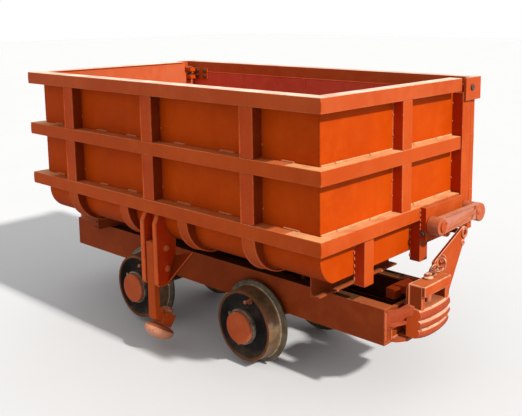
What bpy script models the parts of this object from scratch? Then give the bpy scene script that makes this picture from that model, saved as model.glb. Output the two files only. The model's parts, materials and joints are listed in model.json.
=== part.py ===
"""Single-side dump mine cart for narrow mine track of about 500 mm gauge.

Metres, +Z up, X along the track, +Y toward the door (dump) side. The shapes are drawn in the
track's frame, whose zero is on the ground midway between the rails. The root empty then shifts
the cart so that the world origin is under the middle of its outer box.
"""
import math

import bmesh
import bpy
from mathutils import Matrix, Vector

for old in list(bpy.data.objects):
    bpy.data.objects.remove(old, do_unlink=True)

# ---------------------------------------------------------------- dimensions
TRACK_Y = -0.07368      # the track's centre line in the world
GAP = 0.0003            # between pieces that touch
PLATE = 0.006           # body sheet thickness

WHEELBASE = 0.800
FLANGE_R = 0.200        # the wheels stand on their flanges, so this is the axle height
TREAD_R = 0.175
WHEEL_OUT_Y = 0.325     # outer face of the rim, from the track centre
HUB_OUT_Y = 0.3606      # outer face of the hub cap
HUB_R = 0.077
AXLE_Z = FLANGE_R

BAND_X = 1.040          # outer faces of the horizontal bands
BAND_Y = 0.526
BAND_H = 0.062
RIM_TOP = 1.332
MID_TOP = 1.054
LOW_TOP = 0.776
WALL_X = 0.983          # outer faces of the end walls
WALL_Y = 0.463          # outer face of the side wall, at -Y
WALL_TOP = 1.3255
WALL_END_Y = 0.6145     # door-side edge of the floor, the end walls and their posts
BEND_Z = 0.680          # where the side wall starts to bend under
BEND_R = 0.127
FLOOR_Z = 0.5628        # underside of the floor plate
TONGUE = 0.001          # thin strip of a rib that runs behind the bands
BAND_GAP = TONGUE + 2 * GAP

RIB_W = 0.072
RIB_FACE_Y = 0.522
RIB_X = (-0.660, -0.015, 0.640)
KEEL_X = 0.219          # the two short curved ribs beside the roller bracket
KEEL_W = 0.060
KEEL_Z = 0.5357         # underside of the curved ribs below the floor
KEEL_END_Y = 0.550
END_RIB_Y = (0.032, 0.104)
POST_Y = 0.539
LEG_Y = 0.211
LEG_W = 0.064
LEG_Z = 0.518

DOOR_Y = 0.6185         # inner face of the door
DOOR_X = 1.035
DOOR_BOTTOM = 0.575
DOOR_OUT_Y = 0.664
HINGE = (0.598, 1.285)  # door hinge axis (y, z)
STRIKER = (0.644, 0.640)
DOOR_RIB_X = 0.330

PIVOT = (0.370, 0.638)  # body tipping axis (y, z)
LATCH = (0.213, 0.692)  # latch arm axis (y, z)
LATCH_HEAD = (0.570, 0.688)
BEARING_X = 1.071       # outer face of the bearing plates
ARM_X = (1.085, 1.130)
BRACKET_X = (1.1385, 1.1545)

SILL_Y = 0.210          # outer faces of the frame channels
SILL_X = 1.118
SILL_Z = (0.272, 0.432)
SILL_FLANGE = 0.063
BOLSTER_X = 0.787
BOLSTER_W = 0.053
BOLSTER_Y = 0.295

DUMP_X = -0.033         # centre of the roller bracket
DUMP_PLATE_GAP = 0.066
DUMP_PLATE_T = 0.028
STAY_FOOT = (-0.452, 0.350)      # lower rear corner of the cheeks (y, z)
ROLLER_TOP = (-0.4172, 0.199)   # nut end of the inclined roller axle (y, z)
ROLLER_TILT = math.radians(57)  # below horizontal, pointing outward
ROLLER_R = 0.0775

COUPLER_X = 1.245
COUPLER_Y = 0.105
LIP_Y = 0.118
JAW_Z = (0.488, 0.527)
PIN_X = 1.195           # coupling pin
PIN_R = 0.014
CHAIN_EYE = (1.170, 0.172, 0.562)


# ------------------------------------------------------------------ materials
def material(name, colour, roughness, metallic=0.0):
    mat = bpy.data.materials.new(name)
    mat.use_nodes = True
    shader = mat.node_tree.nodes["Principled BSDF"]
    shader.inputs["Base Color"].default_value = (*colour, 1.0)
    shader.inputs["Roughness"].default_value = roughness
    shader.inputs["Metallic"].default_value = metallic
    mat.diffuse_color = (*colour, 1.0)
    return mat


BODY_PAINT = material("body_paint", (0.55, 0.12, 0.035), 0.55)
FRAME_PAINT = material("frame_paint", (0.28, 0.065, 0.028), 0.65)
CASTING = material("painted_casting", (0.50, 0.14, 0.055), 0.6)
WORN_STEEL = material("worn_steel", (0.16, 0.12, 0.08), 0.5, 0.8)
CAP_PAINT = material("cap_paint", (0.45, 0.13, 0.05), 0.6)
BARE_STEEL = material("bare_steel", (0.35, 0.30, 0.25), 0.4, 1.0)


# -------------------------------------------------------------------- helpers
def make(name, bm, mat):
    """Closes a bmesh into a named object with outward faces."""
    bmesh.ops.remove_doubles(bm, verts=bm.verts, dist=1e-6)
    bmesh.ops.recalc_face_normals(bm, faces=bm.faces)
    mesh = bpy.data.meshes.new(name)
    bm.to_mesh(mesh)
    bm.free()
    mesh.materials.append(mat)
    obj = bpy.data.objects.new(name, mesh)
    bpy.context.scene.collection.objects.link(obj)
    return obj


def prism(name, outline, axis, low, high, mat):
    """Extrudes a 2-D outline along axis; it is given in the other two axes' order."""
    place = {
        "x": lambda t, a, b: (t, a, b),
        "y": lambda t, a, b: (a, t, b),
        "z": lambda t, a, b: (a, b, t),
    }[axis]
    low, high = min(low, high), max(low, high)
    bm = bmesh.new()
    bottom = bm.faces.new([bm.verts.new(place(low, a, b)) for a, b in outline])
    extruded = bmesh.ops.extrude_face_region(bm, geom=[bottom])["geom"]
    shift = Vector(place(high, 0, 0)) - Vector(place(low, 0, 0))
    verts = [item for item in extruded if isinstance(item, bmesh.types.BMVert)]
    bmesh.ops.translate(bm, vec=shift, verts=verts)
    return make(name, bm, mat)


def block(name, xs, ys, zs, mat):
    outline = [(ys[0], zs[0]), (ys[1], zs[0]), (ys[1], zs[1]), (ys[0], zs[1])]
    return prism(name, outline, "x", xs[0], xs[1], mat)


def turned(name, profile, origin, direction, mat, sides=32):
    """Turns a profile of (radius, distance along the axis) points round an axis."""
    turn = Vector((0, 0, 1)).rotation_difference(Vector(direction)).to_matrix().to_4x4()
    place = Matrix.Translation(Vector(origin)) @ turn
    bm = bmesh.new()
    verts = [bm.verts.new((r, 0, t)) for r, t in profile]
    edges = [bm.edges.new((a, b)) for a, b in zip(verts, verts[1:])]
    if profile[0][0] > 0 and profile[-1][0] > 0:
        edges.append(bm.edges.new((verts[-1], verts[0])))
    bmesh.ops.spin(
        bm, geom=verts + edges, cent=(0, 0, 0), axis=(0, 0, 1),
        angle=2 * math.pi, steps=sides, use_merge=True,
    )
    bmesh.ops.transform(bm, matrix=place, verts=bm.verts)
    obj = make(name, bm, mat)
    obj.data.shade_smooth()
    obj.data.set_sharp_from_angle(angle=math.radians(35))
    return obj


def rod(name, start, end, radius, mat, sides=24):
    length = (Vector(end) - Vector(start)).length
    profile = [(0, 0), (radius, 0), (radius, length), (0, length)]
    direction = (Vector(end) - Vector(start)).normalized()
    return turned(name, profile, start, direction, mat, sides)


def combine(obj, other, operation):
    """Adds or cuts another object with an exact Boolean; the other becomes a guide."""
    boolean = obj.modifiers.new(other.name, "BOOLEAN")
    boolean.object = other
    boolean.operation = operation
    boolean.solver = "EXACT"
    other.hide_render = True
    other.display_type = "WIRE"
    other.parent = obj
    return obj


def add(obj, other):
    return combine(obj, other, "UNION")


def cut(obj, other):
    return combine(obj, other, "DIFFERENCE")


def arc(centre, radius, start, end, steps):
    """Points on a circle or ellipse, with angles in degrees."""
    ry, rz = radius if isinstance(radius, tuple) else (radius, radius)
    angles = [math.radians(start + (end - start) * i / steps) for i in range(steps + 1)]
    return [(centre[0] + ry * math.cos(a), centre[1] + rz * math.sin(a)) for a in angles]


def side_name(side):
    return "right" if side > 0 else "left"


def pivot_empty(name, pivot, parent=None):
    """An empty on a joint's axis; pivot is in the track's frame."""
    empty = bpy.data.objects.new(name, None)
    empty.empty_display_size = 0.08
    bpy.context.scene.collection.objects.link(empty)
    empty["pivot"] = pivot
    start = Vector(parent["pivot"]) if parent else Vector((0, 0, 0))
    empty.parent = parent
    empty.location = Vector(pivot) - start if parent else Vector((0, TRACK_Y, 0))
    return empty


def hang(empty, *pieces):
    """Parents pieces to an empty, keeping their meshes in the track's frame."""
    for piece in pieces:
        piece.parent = empty
        piece.location = -Vector(empty["pivot"])


# ---------------------------------------------------------------- body sheets
def bend(offset, steps=8):
    """The rounded lower corner of the body, offset outward, from wall to floor."""
    radius = BEND_R + offset
    floor_angle = math.degrees(math.asin((BEND_Z - FLOOR_Z + offset) / radius))
    return arc((-WALL_Y + BEND_R, BEND_Z), radius, 180, 180 + floor_angle, steps)


def hopper_plate():
    outer = [(-WALL_Y, WALL_TOP)] + bend(0) + [(WALL_END_Y, FLOOR_Z)]
    inner = [(-WALL_Y + PLATE, WALL_TOP)] + bend(-PLATE) + [(WALL_END_Y, FLOOR_Z + PLATE)]
    half = WALL_X - PLATE - GAP
    return prism("hopper_plate", outer + inner[::-1], "x", -half, half, BODY_PAINT)


def end_wall(side):
    notch_y = 0.540
    notch_z = 1.262
    outline = [(-WALL_Y, WALL_TOP)] + bend(0)
    outline += [(WALL_END_Y, FLOOR_Z), (WALL_END_Y, notch_z), (notch_y, notch_z), (notch_y, WALL_TOP)]
    name = f"end_wall_{side_name(side)}"
    return prism(name, outline, "x", side * (WALL_X - PLATE), side * WALL_X, BODY_PAINT)


# ---------------------------------------------------- bands, ribs, posts, legs
def band(name, top, overlap):
    """A channel-section band round the two ends and the side wall, mitred at the corners.

    Section points are (share of the depth from the outer face, height).
    """
    depth_y = BAND_Y - WALL_Y - BAND_GAP
    depth_x = BAND_X - WALL_X - BAND_GAP
    web = PLATE / depth_y
    low = top - BAND_H
    lip = top - PLATE
    section = [
        (0, top), (overlap, top), (overlap, lip), (web, lip),
        (web, low + PLATE), (1, low + PLATE), (1, low), (0, low),
    ]
    bm = bmesh.new()
    rings = []
    for sx, at_corner in ((-1, False), (-1, True), (1, True), (1, False)):
        ring = []
        for share, z in section:
            x = sx * (BAND_X - share * depth_x)
            y = -BAND_Y + share * depth_y if at_corner else BAND_Y
            ring.append(bm.verts.new((x, y, z)))
        rings.append(ring)
    count = len(section)
    for first, second in zip(rings, rings[1:]):
        for i in range(count):
            j = (i + 1) % count
            bm.faces.new((first[i], first[j], second[j], second[i]))
    bm.faces.new(rings[0])
    bm.faces.new(rings[-1])
    return make(name, bm, BODY_PAINT)


def lower_band():
    """The lower band with the four short legs welded under it at the ends."""
    obj = band("lower_band", LOW_TOP, 1)
    for side in (-1, 1):
        for y in (-LEG_Y, LEG_Y):
            leg = block(
                f"leg_{side_name(side)}_{'far' if y > 0 else 'near'}",
                (side * (WALL_X + BAND_GAP), side * (BAND_X - 0.001)),
                (y - LEG_W / 2, y + LEG_W / 2), (LEG_Z, LOW_TOP - BAND_H + 0.003), BODY_PAINT,
            )
            add(obj, leg)
    return obj


def rib_panels(face):
    """Outline of a rib's two raised panels between the bands, from top to bottom."""
    wall = -(WALL_Y + GAP)
    behind = wall - TONGUE
    return [
        (wall, RIM_TOP - BAND_H - GAP), (face, RIM_TOP - BAND_H - GAP),
        (face, MID_TOP + GAP), (behind, MID_TOP + GAP),
        (behind, MID_TOP - BAND_H - GAP), (face, MID_TOP - BAND_H - GAP),
        (face, LOW_TOP + GAP),
    ]


def keel_outline():
    """The curved lower part of a rib, from under the lower band to its end below the floor."""
    top = LOW_TOP - BAND_H - GAP
    centre = (-0.330, top)
    radii = (0.190, top - KEEL_Z)
    outline = [(-WALL_Y - GAP, top)] + arc(centre, radii, 180, 270, 10)
    outline += [(KEEL_END_Y, KEEL_Z), (KEEL_END_Y, FLOOR_Z - GAP)]
    return outline + bend(GAP)[::-1]


def near_rib(name, x, with_keel):
    outline = rib_panels(-RIB_FACE_Y)
    if with_keel:
        behind = -(WALL_Y + GAP + TONGUE)
        outline += [(behind, LOW_TOP + GAP), (behind, LOW_TOP - BAND_H - GAP)]
        outline += keel_outline()[1:]
    else:
        outline += [(-WALL_Y - GAP, LOW_TOP + GAP)]
    return prism(name, outline, "x", x - RIB_W / 2, x + RIB_W / 2, BODY_PAINT)


def end_rib(side):
    """The middle rib of an end wall, with a thin strip behind the middle band."""
    wall = WALL_X + GAP
    face = BAND_X - 0.003
    behind = wall + TONGUE
    outline = [
        (wall, RIM_TOP - BAND_H - GAP), (face, RIM_TOP - BAND_H - GAP),
        (face, MID_TOP + GAP), (behind, MID_TOP + GAP),
        (behind, MID_TOP - BAND_H - GAP), (face, MID_TOP - BAND_H - GAP),
        (face, LOW_TOP + GAP), (wall, LOW_TOP + GAP),
    ]
    outline = [(side * x, z) for x, z in outline]
    return prism(f"end_rib_{side_name(side)}", outline, "y", *END_RIB_Y, BODY_PAINT)


def corner_post(side):
    """Door-side post of an end wall, with a rounded hinge lug on top."""
    lug_r = WALL_END_Y - HINGE[0]
    outline = [(POST_Y, 0.600), (WALL_END_Y, 0.600)] + arc(HINGE, lug_r, 0, 180, 8)
    outline += [(HINGE[0] - lug_r, 1.262), (POST_Y, 1.262)]
    name = f"corner_post_{side_name(side)}"
    post = prism(name, outline, "x", side * (WALL_X + GAP), side * BAND_X, BODY_PAINT)
    hole = rod(f"{name}_hole", (side * 0.97, *HINGE), (side * 1.06, *HINGE), 0.0093, BODY_PAINT, 16)
    return cut(post, hole)


def hinge_pin(side):
    """Door hinge pin, held in the post; the door's hinge block turns on it."""
    profile = [(0, 0), (0.0089, 0), (0.0089, 0.0690), (0.0145, 0.0690), (0.0145, 0.0755), (0, 0.0755)]
    start = (side * (WALL_X + 0.002), *HINGE)
    return turned(f"door_hinge_pin_{side_name(side)}", profile, start, (side, 0, 0), BARE_STEEL, 16)


# ------------------------------------------------- bearing plates and latches
def bearing_plate(side):
    """Thick plate over the lower band, bored for the tipping pivot, with the latch's shaft."""
    lug_r = 0.038
    y0, y1 = 0.175, 0.500
    z0, z1 = 0.627, LOW_TOP
    outline = [(y0, z0), (y0, z1), (y1, z1), (y1, z0)]
    name = f"bearing_plate_{side_name(side)}"
    plate = prism(name, outline, "x", side * (BAND_X + GAP), side * BEARING_X, BODY_PAINT)
    lug = rod(f"{name}_lug", (side * (BAND_X + GAP), *PIVOT), (side * BEARING_X, *PIVOT), lug_r,
              BODY_PAINT, 24)
    hole = rod(f"{name}_hole", (side * 1.0, *PIVOT), (side * 1.1, *PIVOT), 0.0125, BODY_PAINT, 20)
    shaft_profile = [(0, 0), (0.016, 0), (0.016, 0.074), (0.021, 0.074), (0.021, 0.0795), (0, 0.0795)]
    start = (side * (BEARING_X - 0.008), *LATCH)
    shaft = turned(f"{name}_shaft", shaft_profile, start, (side, 0, 0), BODY_PAINT, 20)
    return cut(add(add(plate, lug), shaft), hole)


def latch_arm(side):
    """Cast latch arm: a hub, a ribbed arm, and a round head with a lip over the door's striker."""
    name = f"latch_arm_{side_name(side)}"
    hub_r, head_r = 0.041, 0.045
    ay, az = LATCH
    by, bz = LATCH_HEAD
    outline = arc(LATCH, hub_r, 95, 285, 10)
    outline += [(ay + 0.090, az - 0.031), (by - 0.075, bz - 0.028)]
    outline += arc(LATCH_HEAD, head_r, -140, 80, 12)
    arm = prism(name, outline, "x", side * ARM_X[0], side * ARM_X[1], CASTING)
    for part, (y, z), radius, start in (("hub", LATCH, hub_r, 1.0745), ("head", LATCH_HEAD, head_r, 1.046)):
        add(arm, rod(f"{name}_{part}", (side * start, y, z), (side * 1.1355, y, z), radius - 0.0005,
                     CASTING, 24))
    lip = [
        (by, bz - 0.030), (by + 0.055, bz - 0.0325), (by + 0.078, bz - 0.0330),
        (by + 0.118, bz - 0.0450), (by + 0.120, bz - 0.020), (by + 0.085, bz + 0.015),
        (by, bz + 0.035),
    ]
    add(arm, prism(f"{name}_lip", lip, "x", side * 1.047, side * 1.0725, CASTING))
    for index, (low, high) in enumerate(((-0.024, -0.004), (0.004, 0.024))):
        pocket = [
            (ay + 0.060, az + low), (by - 0.060, bz + low),
            (by - 0.060, bz + high), (ay + 0.060, az + high),
        ]
        cut(arm, prism(f"{name}_pocket_{index}", pocket, "x", side * (ARM_X[1] - 0.012),
                       side * (ARM_X[1] + 0.01), CASTING))
    bore = rod(f"{name}_bore", (side * 1.05, ay, az), (side * 1.2, ay, az), 0.0166, CASTING, 20)
    return cut(arm, bore)


# ----------------------------------------------------------------------- door
def door_panel():
    return block(
        "door_panel", (-DOOR_X, DOOR_X), (DOOR_Y, DOOR_Y + PLATE),
        (DOOR_BOTTOM, RIM_TOP - BAND_H - GAP), BODY_PAINT,
    )


def door_top_beam():
    """Inverted channel along the door's top, with a hinge block on each end."""
    y0, y1 = DOOR_Y, 0.680
    low, top = RIM_TOP - BAND_H, RIM_TOP
    section = [
        (y0, low), (y0 + PLATE, low), (y0 + PLATE, top - PLATE), (y1 - PLATE, top - PLATE),
        (y1 - PLATE, low), (y1, low), (y1, top), (y0, top),
    ]
    block_x = (BAND_X + GAP, BAND_X + 0.0135)
    beam = prism("door_top_beam", section, "x", -block_x[1] + 0.001, block_x[1] - 0.001, BODY_PAINT)
    for side in (-1, 1):
        name = f"hinge_block_{side_name(side)}"
        ends = (side * block_x[0], side * block_x[1])
        add(beam, block(name, ends, (0.541, 0.683), (1.224, RIM_TOP + 0.0005), BODY_PAINT))
        hole = rod(f"{name}_hole", (side * 1.0, *HINGE), (side * 1.1, *HINGE), 0.0095, BODY_PAINT, 16)
        cut(beam, hole)
    return beam


def door_rail(name, top):
    """Outward channel across the door, open toward the panel."""
    y0 = DOOR_Y + PLATE + BAND_GAP
    y1 = DOOR_OUT_Y
    low = top - BAND_H
    section = [
        (y0, low), (y1, low), (y1, top), (y0, top), (y0, top - PLATE),
        (y1 - PLATE, top - PLATE), (y1 - PLATE, low + PLATE), (y0, low + PLATE),
    ]
    return prism(name, section, "x", -DOOR_X, DOOR_X, BODY_PAINT)


def door_rib(name, x0, x1):
    """Upright of the door, with thin strips behind the two rails."""
    wall = DOOR_Y + PLATE + GAP
    behind = wall + TONGUE
    face = DOOR_OUT_Y - 0.003
    outline = [(wall, RIM_TOP - BAND_H - GAP), (face, RIM_TOP - BAND_H - GAP)]
    for top in (MID_TOP, LOW_TOP):
        outline += [
            (face, top + GAP), (behind, top + GAP),
            (behind, top - BAND_H - GAP), (face, top - BAND_H - GAP),
        ]
    outline += [(face, DOOR_BOTTOM), (wall, DOOR_BOTTOM)]
    return prism(name, outline, "x", x0, x1, BODY_PAINT)


def door_stile(side):
    stile = door_rib(f"door_stile_{side_name(side)}", side * (DOOR_X - 0.050), side * DOOR_X)
    striker = rod(
        f"striker_{side_name(side)}", (side * (DOOR_X - 0.010), *STRIKER), (side * 1.0735, *STRIKER),
        0.012, BARE_STEEL, 16,
    )
    return add(stile, striker)


# ------------------------------------------------------------- roller bracket
def dump_plate(side):
    """One cheek of the roller bracket, with its bolt heads."""
    name = f"roller_bracket_{side_name(side)}"
    inner = DUMP_X + side * DUMP_PLATE_GAP / 2
    outer = inner + side * DUMP_PLATE_T
    top = LOW_TOP - BAND_H - GAP
    back_y = -0.400
    shell = [point for point in bend(GAP, 24) if point[0] < back_y]
    outline = [(-0.495, top), (-WALL_Y - GAP, top)] + shell
    outline += [(back_y, 0.5685), (-0.405, 0.480), STAY_FOOT, (-0.510, 0.350), (-0.522, 0.362)]
    outline += [(-0.522, 0.665)]
    plate = prism(name, outline, "x", inner, outer, BODY_PAINT)
    for index, z in enumerate((0.547, 0.440)):
        profile = [(0, -0.004), (0.0165, -0.004), (0.0165, 0.002), (0.011, 0.008), (0, 0.009)]
        head = turned(f"{name}_bolt_{index}", profile, (outer, -0.478, z), (side, 0, 0), BODY_PAINT, 16)
        add(plate, head)
    if side > 0:
        add(plate, stay(f"{name}_stay", outer))
    return plate


def stay(name, plate_x):
    """Triangular brace from the cheek's slanted rear edge to the curved rib beside it."""
    foot = Vector((plate_x - 0.004, *STAY_FOOT))
    upper = Vector((plate_x - 0.004, -0.405, 0.480))
    tip = Vector((KEEL_X - KEEL_W / 2 - 0.002, -0.424, 0.536))
    along = (tip - foot).cross(upper - foot).normalized() * 0.010
    bm = bmesh.new()
    first = [bm.verts.new(p + 0.002 * (tip - foot).normalized()) for p in (foot, upper, tip)]
    second = [bm.verts.new(v.co + along) for v in first]
    bm.faces.new(first)
    bm.faces.new(second)
    for i in range(3):
        j = (i + 1) % 3
        bm.faces.new((first[i], first[j], second[j], second[i]))
    return make(name, bm, BODY_PAINT)


def roller_axis():
    return Vector((0, -math.cos(ROLLER_TILT), -math.sin(ROLLER_TILT)))


def roller_arm():
    """Upright bar between the cheeks, with the inclined bearing block at its foot."""
    half = 0.025
    outline = [
        (-0.515, 0.181), (-0.515, 0.565), (-0.485, 0.565), (-0.485, 0.240),
        (-0.462, 0.215), (-0.462, 0.160),
    ]
    arm = prism("roller_arm", outline, "x", DUMP_X - half, DUMP_X + half, BODY_PAINT)
    along = roller_axis()
    across = Vector((0, -along.z, along.y))
    centre = Vector((0, *ROLLER_TOP)) + 0.048 * along
    corners = []
    for a, c in ((-0.030, -0.032), (0.030, -0.032), (0.030, 0.032), (-0.030, 0.032)):
        corner = centre + a * along + c * across
        corners.append((corner.y, corner.z))
    add(arm, prism("roller_arm_block", corners, "x", DUMP_X - 0.040, DUMP_X + 0.040, BODY_PAINT))
    start = Vector((DUMP_X, *ROLLER_TOP)) - 0.05 * along
    bore = rod("roller_arm_bore", start, start + 0.2 * along, 0.0125, BODY_PAINT, 20)
    return cut(arm, bore)


def roller_axle():
    """Inclined axle with its nut on top."""
    profile = [
        (0, -0.012), (0.012, -0.012), (0.012, -0.006), (0.028, -0.006), (0.028, 0.0173),
        (0.012, 0.0173), (0.012, 0.115), (0, 0.115),
    ]
    return turned("roller_axle", profile, (DUMP_X, *ROLLER_TOP), roller_axis(), BARE_STEEL, 20)


def dump_roller():
    """Domed roller that runs up the dump rail; its bore is blind."""
    r = ROLLER_R
    profile = [
        (0, 0.148), (r * 0.3, 0.146), (r * 0.6, 0.139), (r * 0.85, 0.127), (r - 0.002, 0.114),
        (r, 0.102), (r - 0.007, 0.090), (0.040, 0.080), (0.0127, 0.080), (0.0127, 0.117), (0, 0.117),
    ]
    return turned("dump_roller", profile, (DUMP_X, *ROLLER_TOP), roller_axis(), WORN_STEEL, 28)


# ---------------------------------------------------------------------- frame
def channel(web, flange_end, zs, web_t, flange_t):
    """C section: web is the outer face, flange_end the flange tips (both along one axis)."""
    inward = 1 if flange_end > web else -1
    low, high = zs
    inner = web + inward * web_t
    return [
        (web, low), (flange_end, low), (flange_end, low + flange_t), (inner, low + flange_t),
        (inner, high - flange_t), (flange_end, high - flange_t), (flange_end, high), (web, high),
    ]


def sill(name, side):
    section = channel(side * SILL_Y, side * (SILL_Y - SILL_FLANGE), SILL_Z, 0.008, 0.010)
    return prism(name, section, "x", -SILL_X, SILL_X, FRAME_PAINT)


def bolster(side):
    """Transverse channel on the sills, open outward, on which the body rests."""
    zs = (SILL_Z[1] + GAP, FLOOR_Z - GAP)
    section = channel(side * BOLSTER_X, side * (BOLSTER_X + BOLSTER_W), zs, 0.006, 0.009)
    return prism(f"bolster_{side_name(side)}", section, "y", -BOLSTER_Y, BOLSTER_Y, FRAME_PAINT)


def end_frame(side):
    """End plate between the sills, with the leaning bracket that carries the tipping pivot."""
    name = f"end_frame_{side_name(side)}"
    inner_y = SILL_Y - 0.008 - GAP
    plate = block(
        name, (side * 1.098, side * 1.1175), (-inner_y, inner_y),
        (SILL_Z[0] + 0.010 + GAP, SILL_Z[1] - 0.010 - GAP), FRAME_PAINT,
    )
    foot = block(
        f"{name}_foot", (side * 1.110, side * (BRACKET_X[0] + 0.004)), (0.116, inner_y - 0.001),
        (0.300, SILL_Z[1] - 0.012), FRAME_PAINT,
    )
    knuckle = arc(PIVOT, 0.028, -35, 115, 10)
    outline = [(0.116, 0.300), (0.235, 0.300), (0.252, 0.396)] + knuckle + [(0.116, 0.559)]
    bracket = prism(f"{name}_bracket", outline, "x", side * BRACKET_X[0], side * BRACKET_X[1], CASTING)
    eye_y, eye_z = CHAIN_EYE[1:]
    stud = rod(f"{name}_stud", (side * 1.150, eye_y, eye_z), (side * 1.1615, eye_y, eye_z), 0.006,
               CASTING, 12)
    hole = rod(f"{name}_hole", (side * 1.12, *PIVOT), (side * 1.2, *PIVOT), 0.0123, FRAME_PAINT, 20)
    return cut(add(add(add(plate, foot), bracket), stud), hole)


def pivot_pin(side):
    profile = [(0, 0), (0.012, 0), (0.012, 0.1130), (0.0155, 0.1130), (0.0155, 0.1180), (0, 0.1180)]
    start = (side * (BAND_X + 0.002), *PIVOT)
    return turned(f"pivot_pin_{side_name(side)}", profile, start, (side, 0, 0), BARE_STEEL, 20)


def coupler(side):
    """Cast bumper: ridged lips, a base with a wing, an upper jaw, and a drawbar tail behind."""
    name = f"coupler_{side_name(side)}"
    back = SILL_X + GAP
    lips = [
        (1.160, 0.290), (1.215, 0.290), (1.238, 0.304), (1.243, 0.328), (1.232, 0.337),
        (1.249, 0.352), (1.250, 0.370), (1.238, 0.378), (1.250, 0.392), (1.247, 0.412),
        (1.232, 0.428), (1.160, 0.428),
    ]
    body = prism(name, [(side * x, z) for x, z in lips], "y", -LIP_Y, LIP_Y, CASTING)
    jaw_low, jaw_top = JAW_Z
    jaw = [
        (1.172, jaw_low), (COUPLER_X, jaw_low), (COUPLER_X, jaw_top), (1.166, jaw_top),
        (1.150, 0.505), (1.150, 0.420), (1.172, 0.420),
    ]
    add(body, prism(f"{name}_jaw", [(side * x, z) for x, z in jaw], "y", -COUPLER_Y, COUPLER_Y, CASTING))
    add(body, block(f"{name}_core", (side * back, side * 1.170), (-0.070, 0.070), (0.282, 0.4205), CASTING))
    add(body, block(f"{name}_foot", (side * back, side * 1.168), (-0.160, 0.113), (0.276, 0.2885), CASTING))
    wing = [(back, -0.195), (1.138, -0.185), (1.168, -0.112), (1.168, 0.112), (back, 0.112)]
    add(body, prism(f"{name}_wing", [(side * x, y) for x, y in wing], "z", 0.352, 0.4215, CASTING))
    neck = [(1.060, 0.446), (1.156, 0.462), (1.156, 0.500), (1.060, 0.496)]
    add(body, prism(f"{name}_neck", [(side * x, z) for x, z in neck], "y", -0.055, 0.055, CASTING))
    add(body, block(f"{name}_tail", (side * 1.048, side * 1.092), (-0.100, 0.020), (0.440, 0.4985), CASTING))
    for near_far in (-1, 1):
        label = "near" if near_far < 0 else "far"
        cheek = block(
            f"{name}_cheek_{label}", (side * 1.1705, side * 1.234),
            (near_far * 0.083, near_far * (COUPLER_Y - 0.0005)), (0.410, 0.500), CASTING,
        )
        add(body, cheek)
    start = (side * PIN_X, 0, 0.2)
    bore = rod(f"{name}_bore", start, (side * PIN_X, 0, 0.6), PIN_R + 0.001, CASTING, 20)
    return cut(body, bore)


def coupling_pin(side):
    """Drop pin through the jaws, with a collar that rests on the upper jaw."""
    r = PIN_R
    profile = [
        (0, 0), (r - 0.004, 0), (r, 0.008), (r, 0.2155), (0.022, 0.2155), (0.022, 0.2215),
        (0.011, 0.2255), (0.011, 0.230), (0.015, 0.233), (0.011, 0.238), (0, 0.239),
    ]
    return turned(f"coupling_pin_{side_name(side)}", profile, (side * PIN_X, 0, 0.3122), (0, 0, 1),
                  BARE_STEEL, 20)


def pin_chain(side):
    """Space of the short chain from the bracket's eye to the coupling pin."""
    ex, ey, ez = CHAIN_EYE
    route = [
        (ex, ey, ez), (ex + 0.004, ey - 0.030, ez - 0.014), (ex + 0.008, ey - 0.070, ez - 0.022),
        (ex + 0.014, ey - 0.110, ez - 0.020), (ex + 0.022, 0.026, 0.549),
    ]
    curve = bpy.data.curves.new("pin_chain", "CURVE")
    curve.dimensions = "3D"
    curve.bevel_depth = 0.008
    curve.bevel_resolution = 2
    curve.use_fill_caps = True
    spline = curve.splines.new("POLY")
    spline.points.add(len(route) - 1)
    for point, (x, y, z) in zip(spline.points, route):
        point.co = (side * x, y, z, 1.0)
    curve.materials.append(BARE_STEEL)
    obj = bpy.data.objects.new(f"pin_chain_{side_name(side)}", curve)
    bpy.context.scene.collection.objects.link(obj)
    return obj


# ------------------------------------------------------------------- wheelset
def axle(name, x):
    half = 0.338
    journal = 0.228
    profile = [
        (0, -half), (0.0275, -half), (0.0275, -journal), (0.034, -journal),
        (0.034, journal), (0.0275, journal), (0.0275, half), (0, half),
    ]
    return turned(name, profile, (x, 0, AXLE_Z), (0, 1, 0), WORN_STEEL, 24)


def axle_cradle(name, x):
    """Cradle beam under both sills that clamps the axle."""
    half_x = 0.055
    arch = arc((x, AXLE_Z), 0.0345, 180, 0, 10)
    outline = [(x - half_x, AXLE_Z), (x - half_x, SILL_Z[0] - GAP), (x + half_x, SILL_Z[0] - GAP)]
    outline += [(x + half_x, AXLE_Z)] + arch[::-1]
    return prism(name, outline, "y", -0.225, 0.225, FRAME_PAINT)


def wheel(name, x, side):
    """Cast wheel; the profile's distance runs inward from the outer face of the rim."""
    profile = [
        (0.0285, -0.017), (0.073, -0.017), (0.075, 0.046), (0.090, 0.054), (0.132, 0.050),
        (0.148, 0.034), (0.153, 0.0), (0.167, 0.0), (TREAD_R - 0.0015, 0.070), (0.196, 0.080),
        (FLANGE_R, 0.087), (0.195, 0.0965), (0.165, 0.0965), (0.157, 0.070), (0.100, 0.078),
        (0.064, 0.084), (0.060, 0.0935), (0.0285, 0.0935),
    ]
    origin = (x, side * WHEEL_OUT_Y, AXLE_Z)
    return turned(name, profile, origin, (0, -side, 0), WORN_STEEL, 36)


def hub_cap(name, x, side):
    profile = [(0, 0.0), (HUB_R - 0.006, 0.0), (HUB_R, 0.004), (HUB_R, 0.0183), (0, 0.0183)]
    origin = (x, side * HUB_OUT_Y, AXLE_Z)
    return turned(name, profile, origin, (0, -side, 0), CAP_PAINT, 24)


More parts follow.
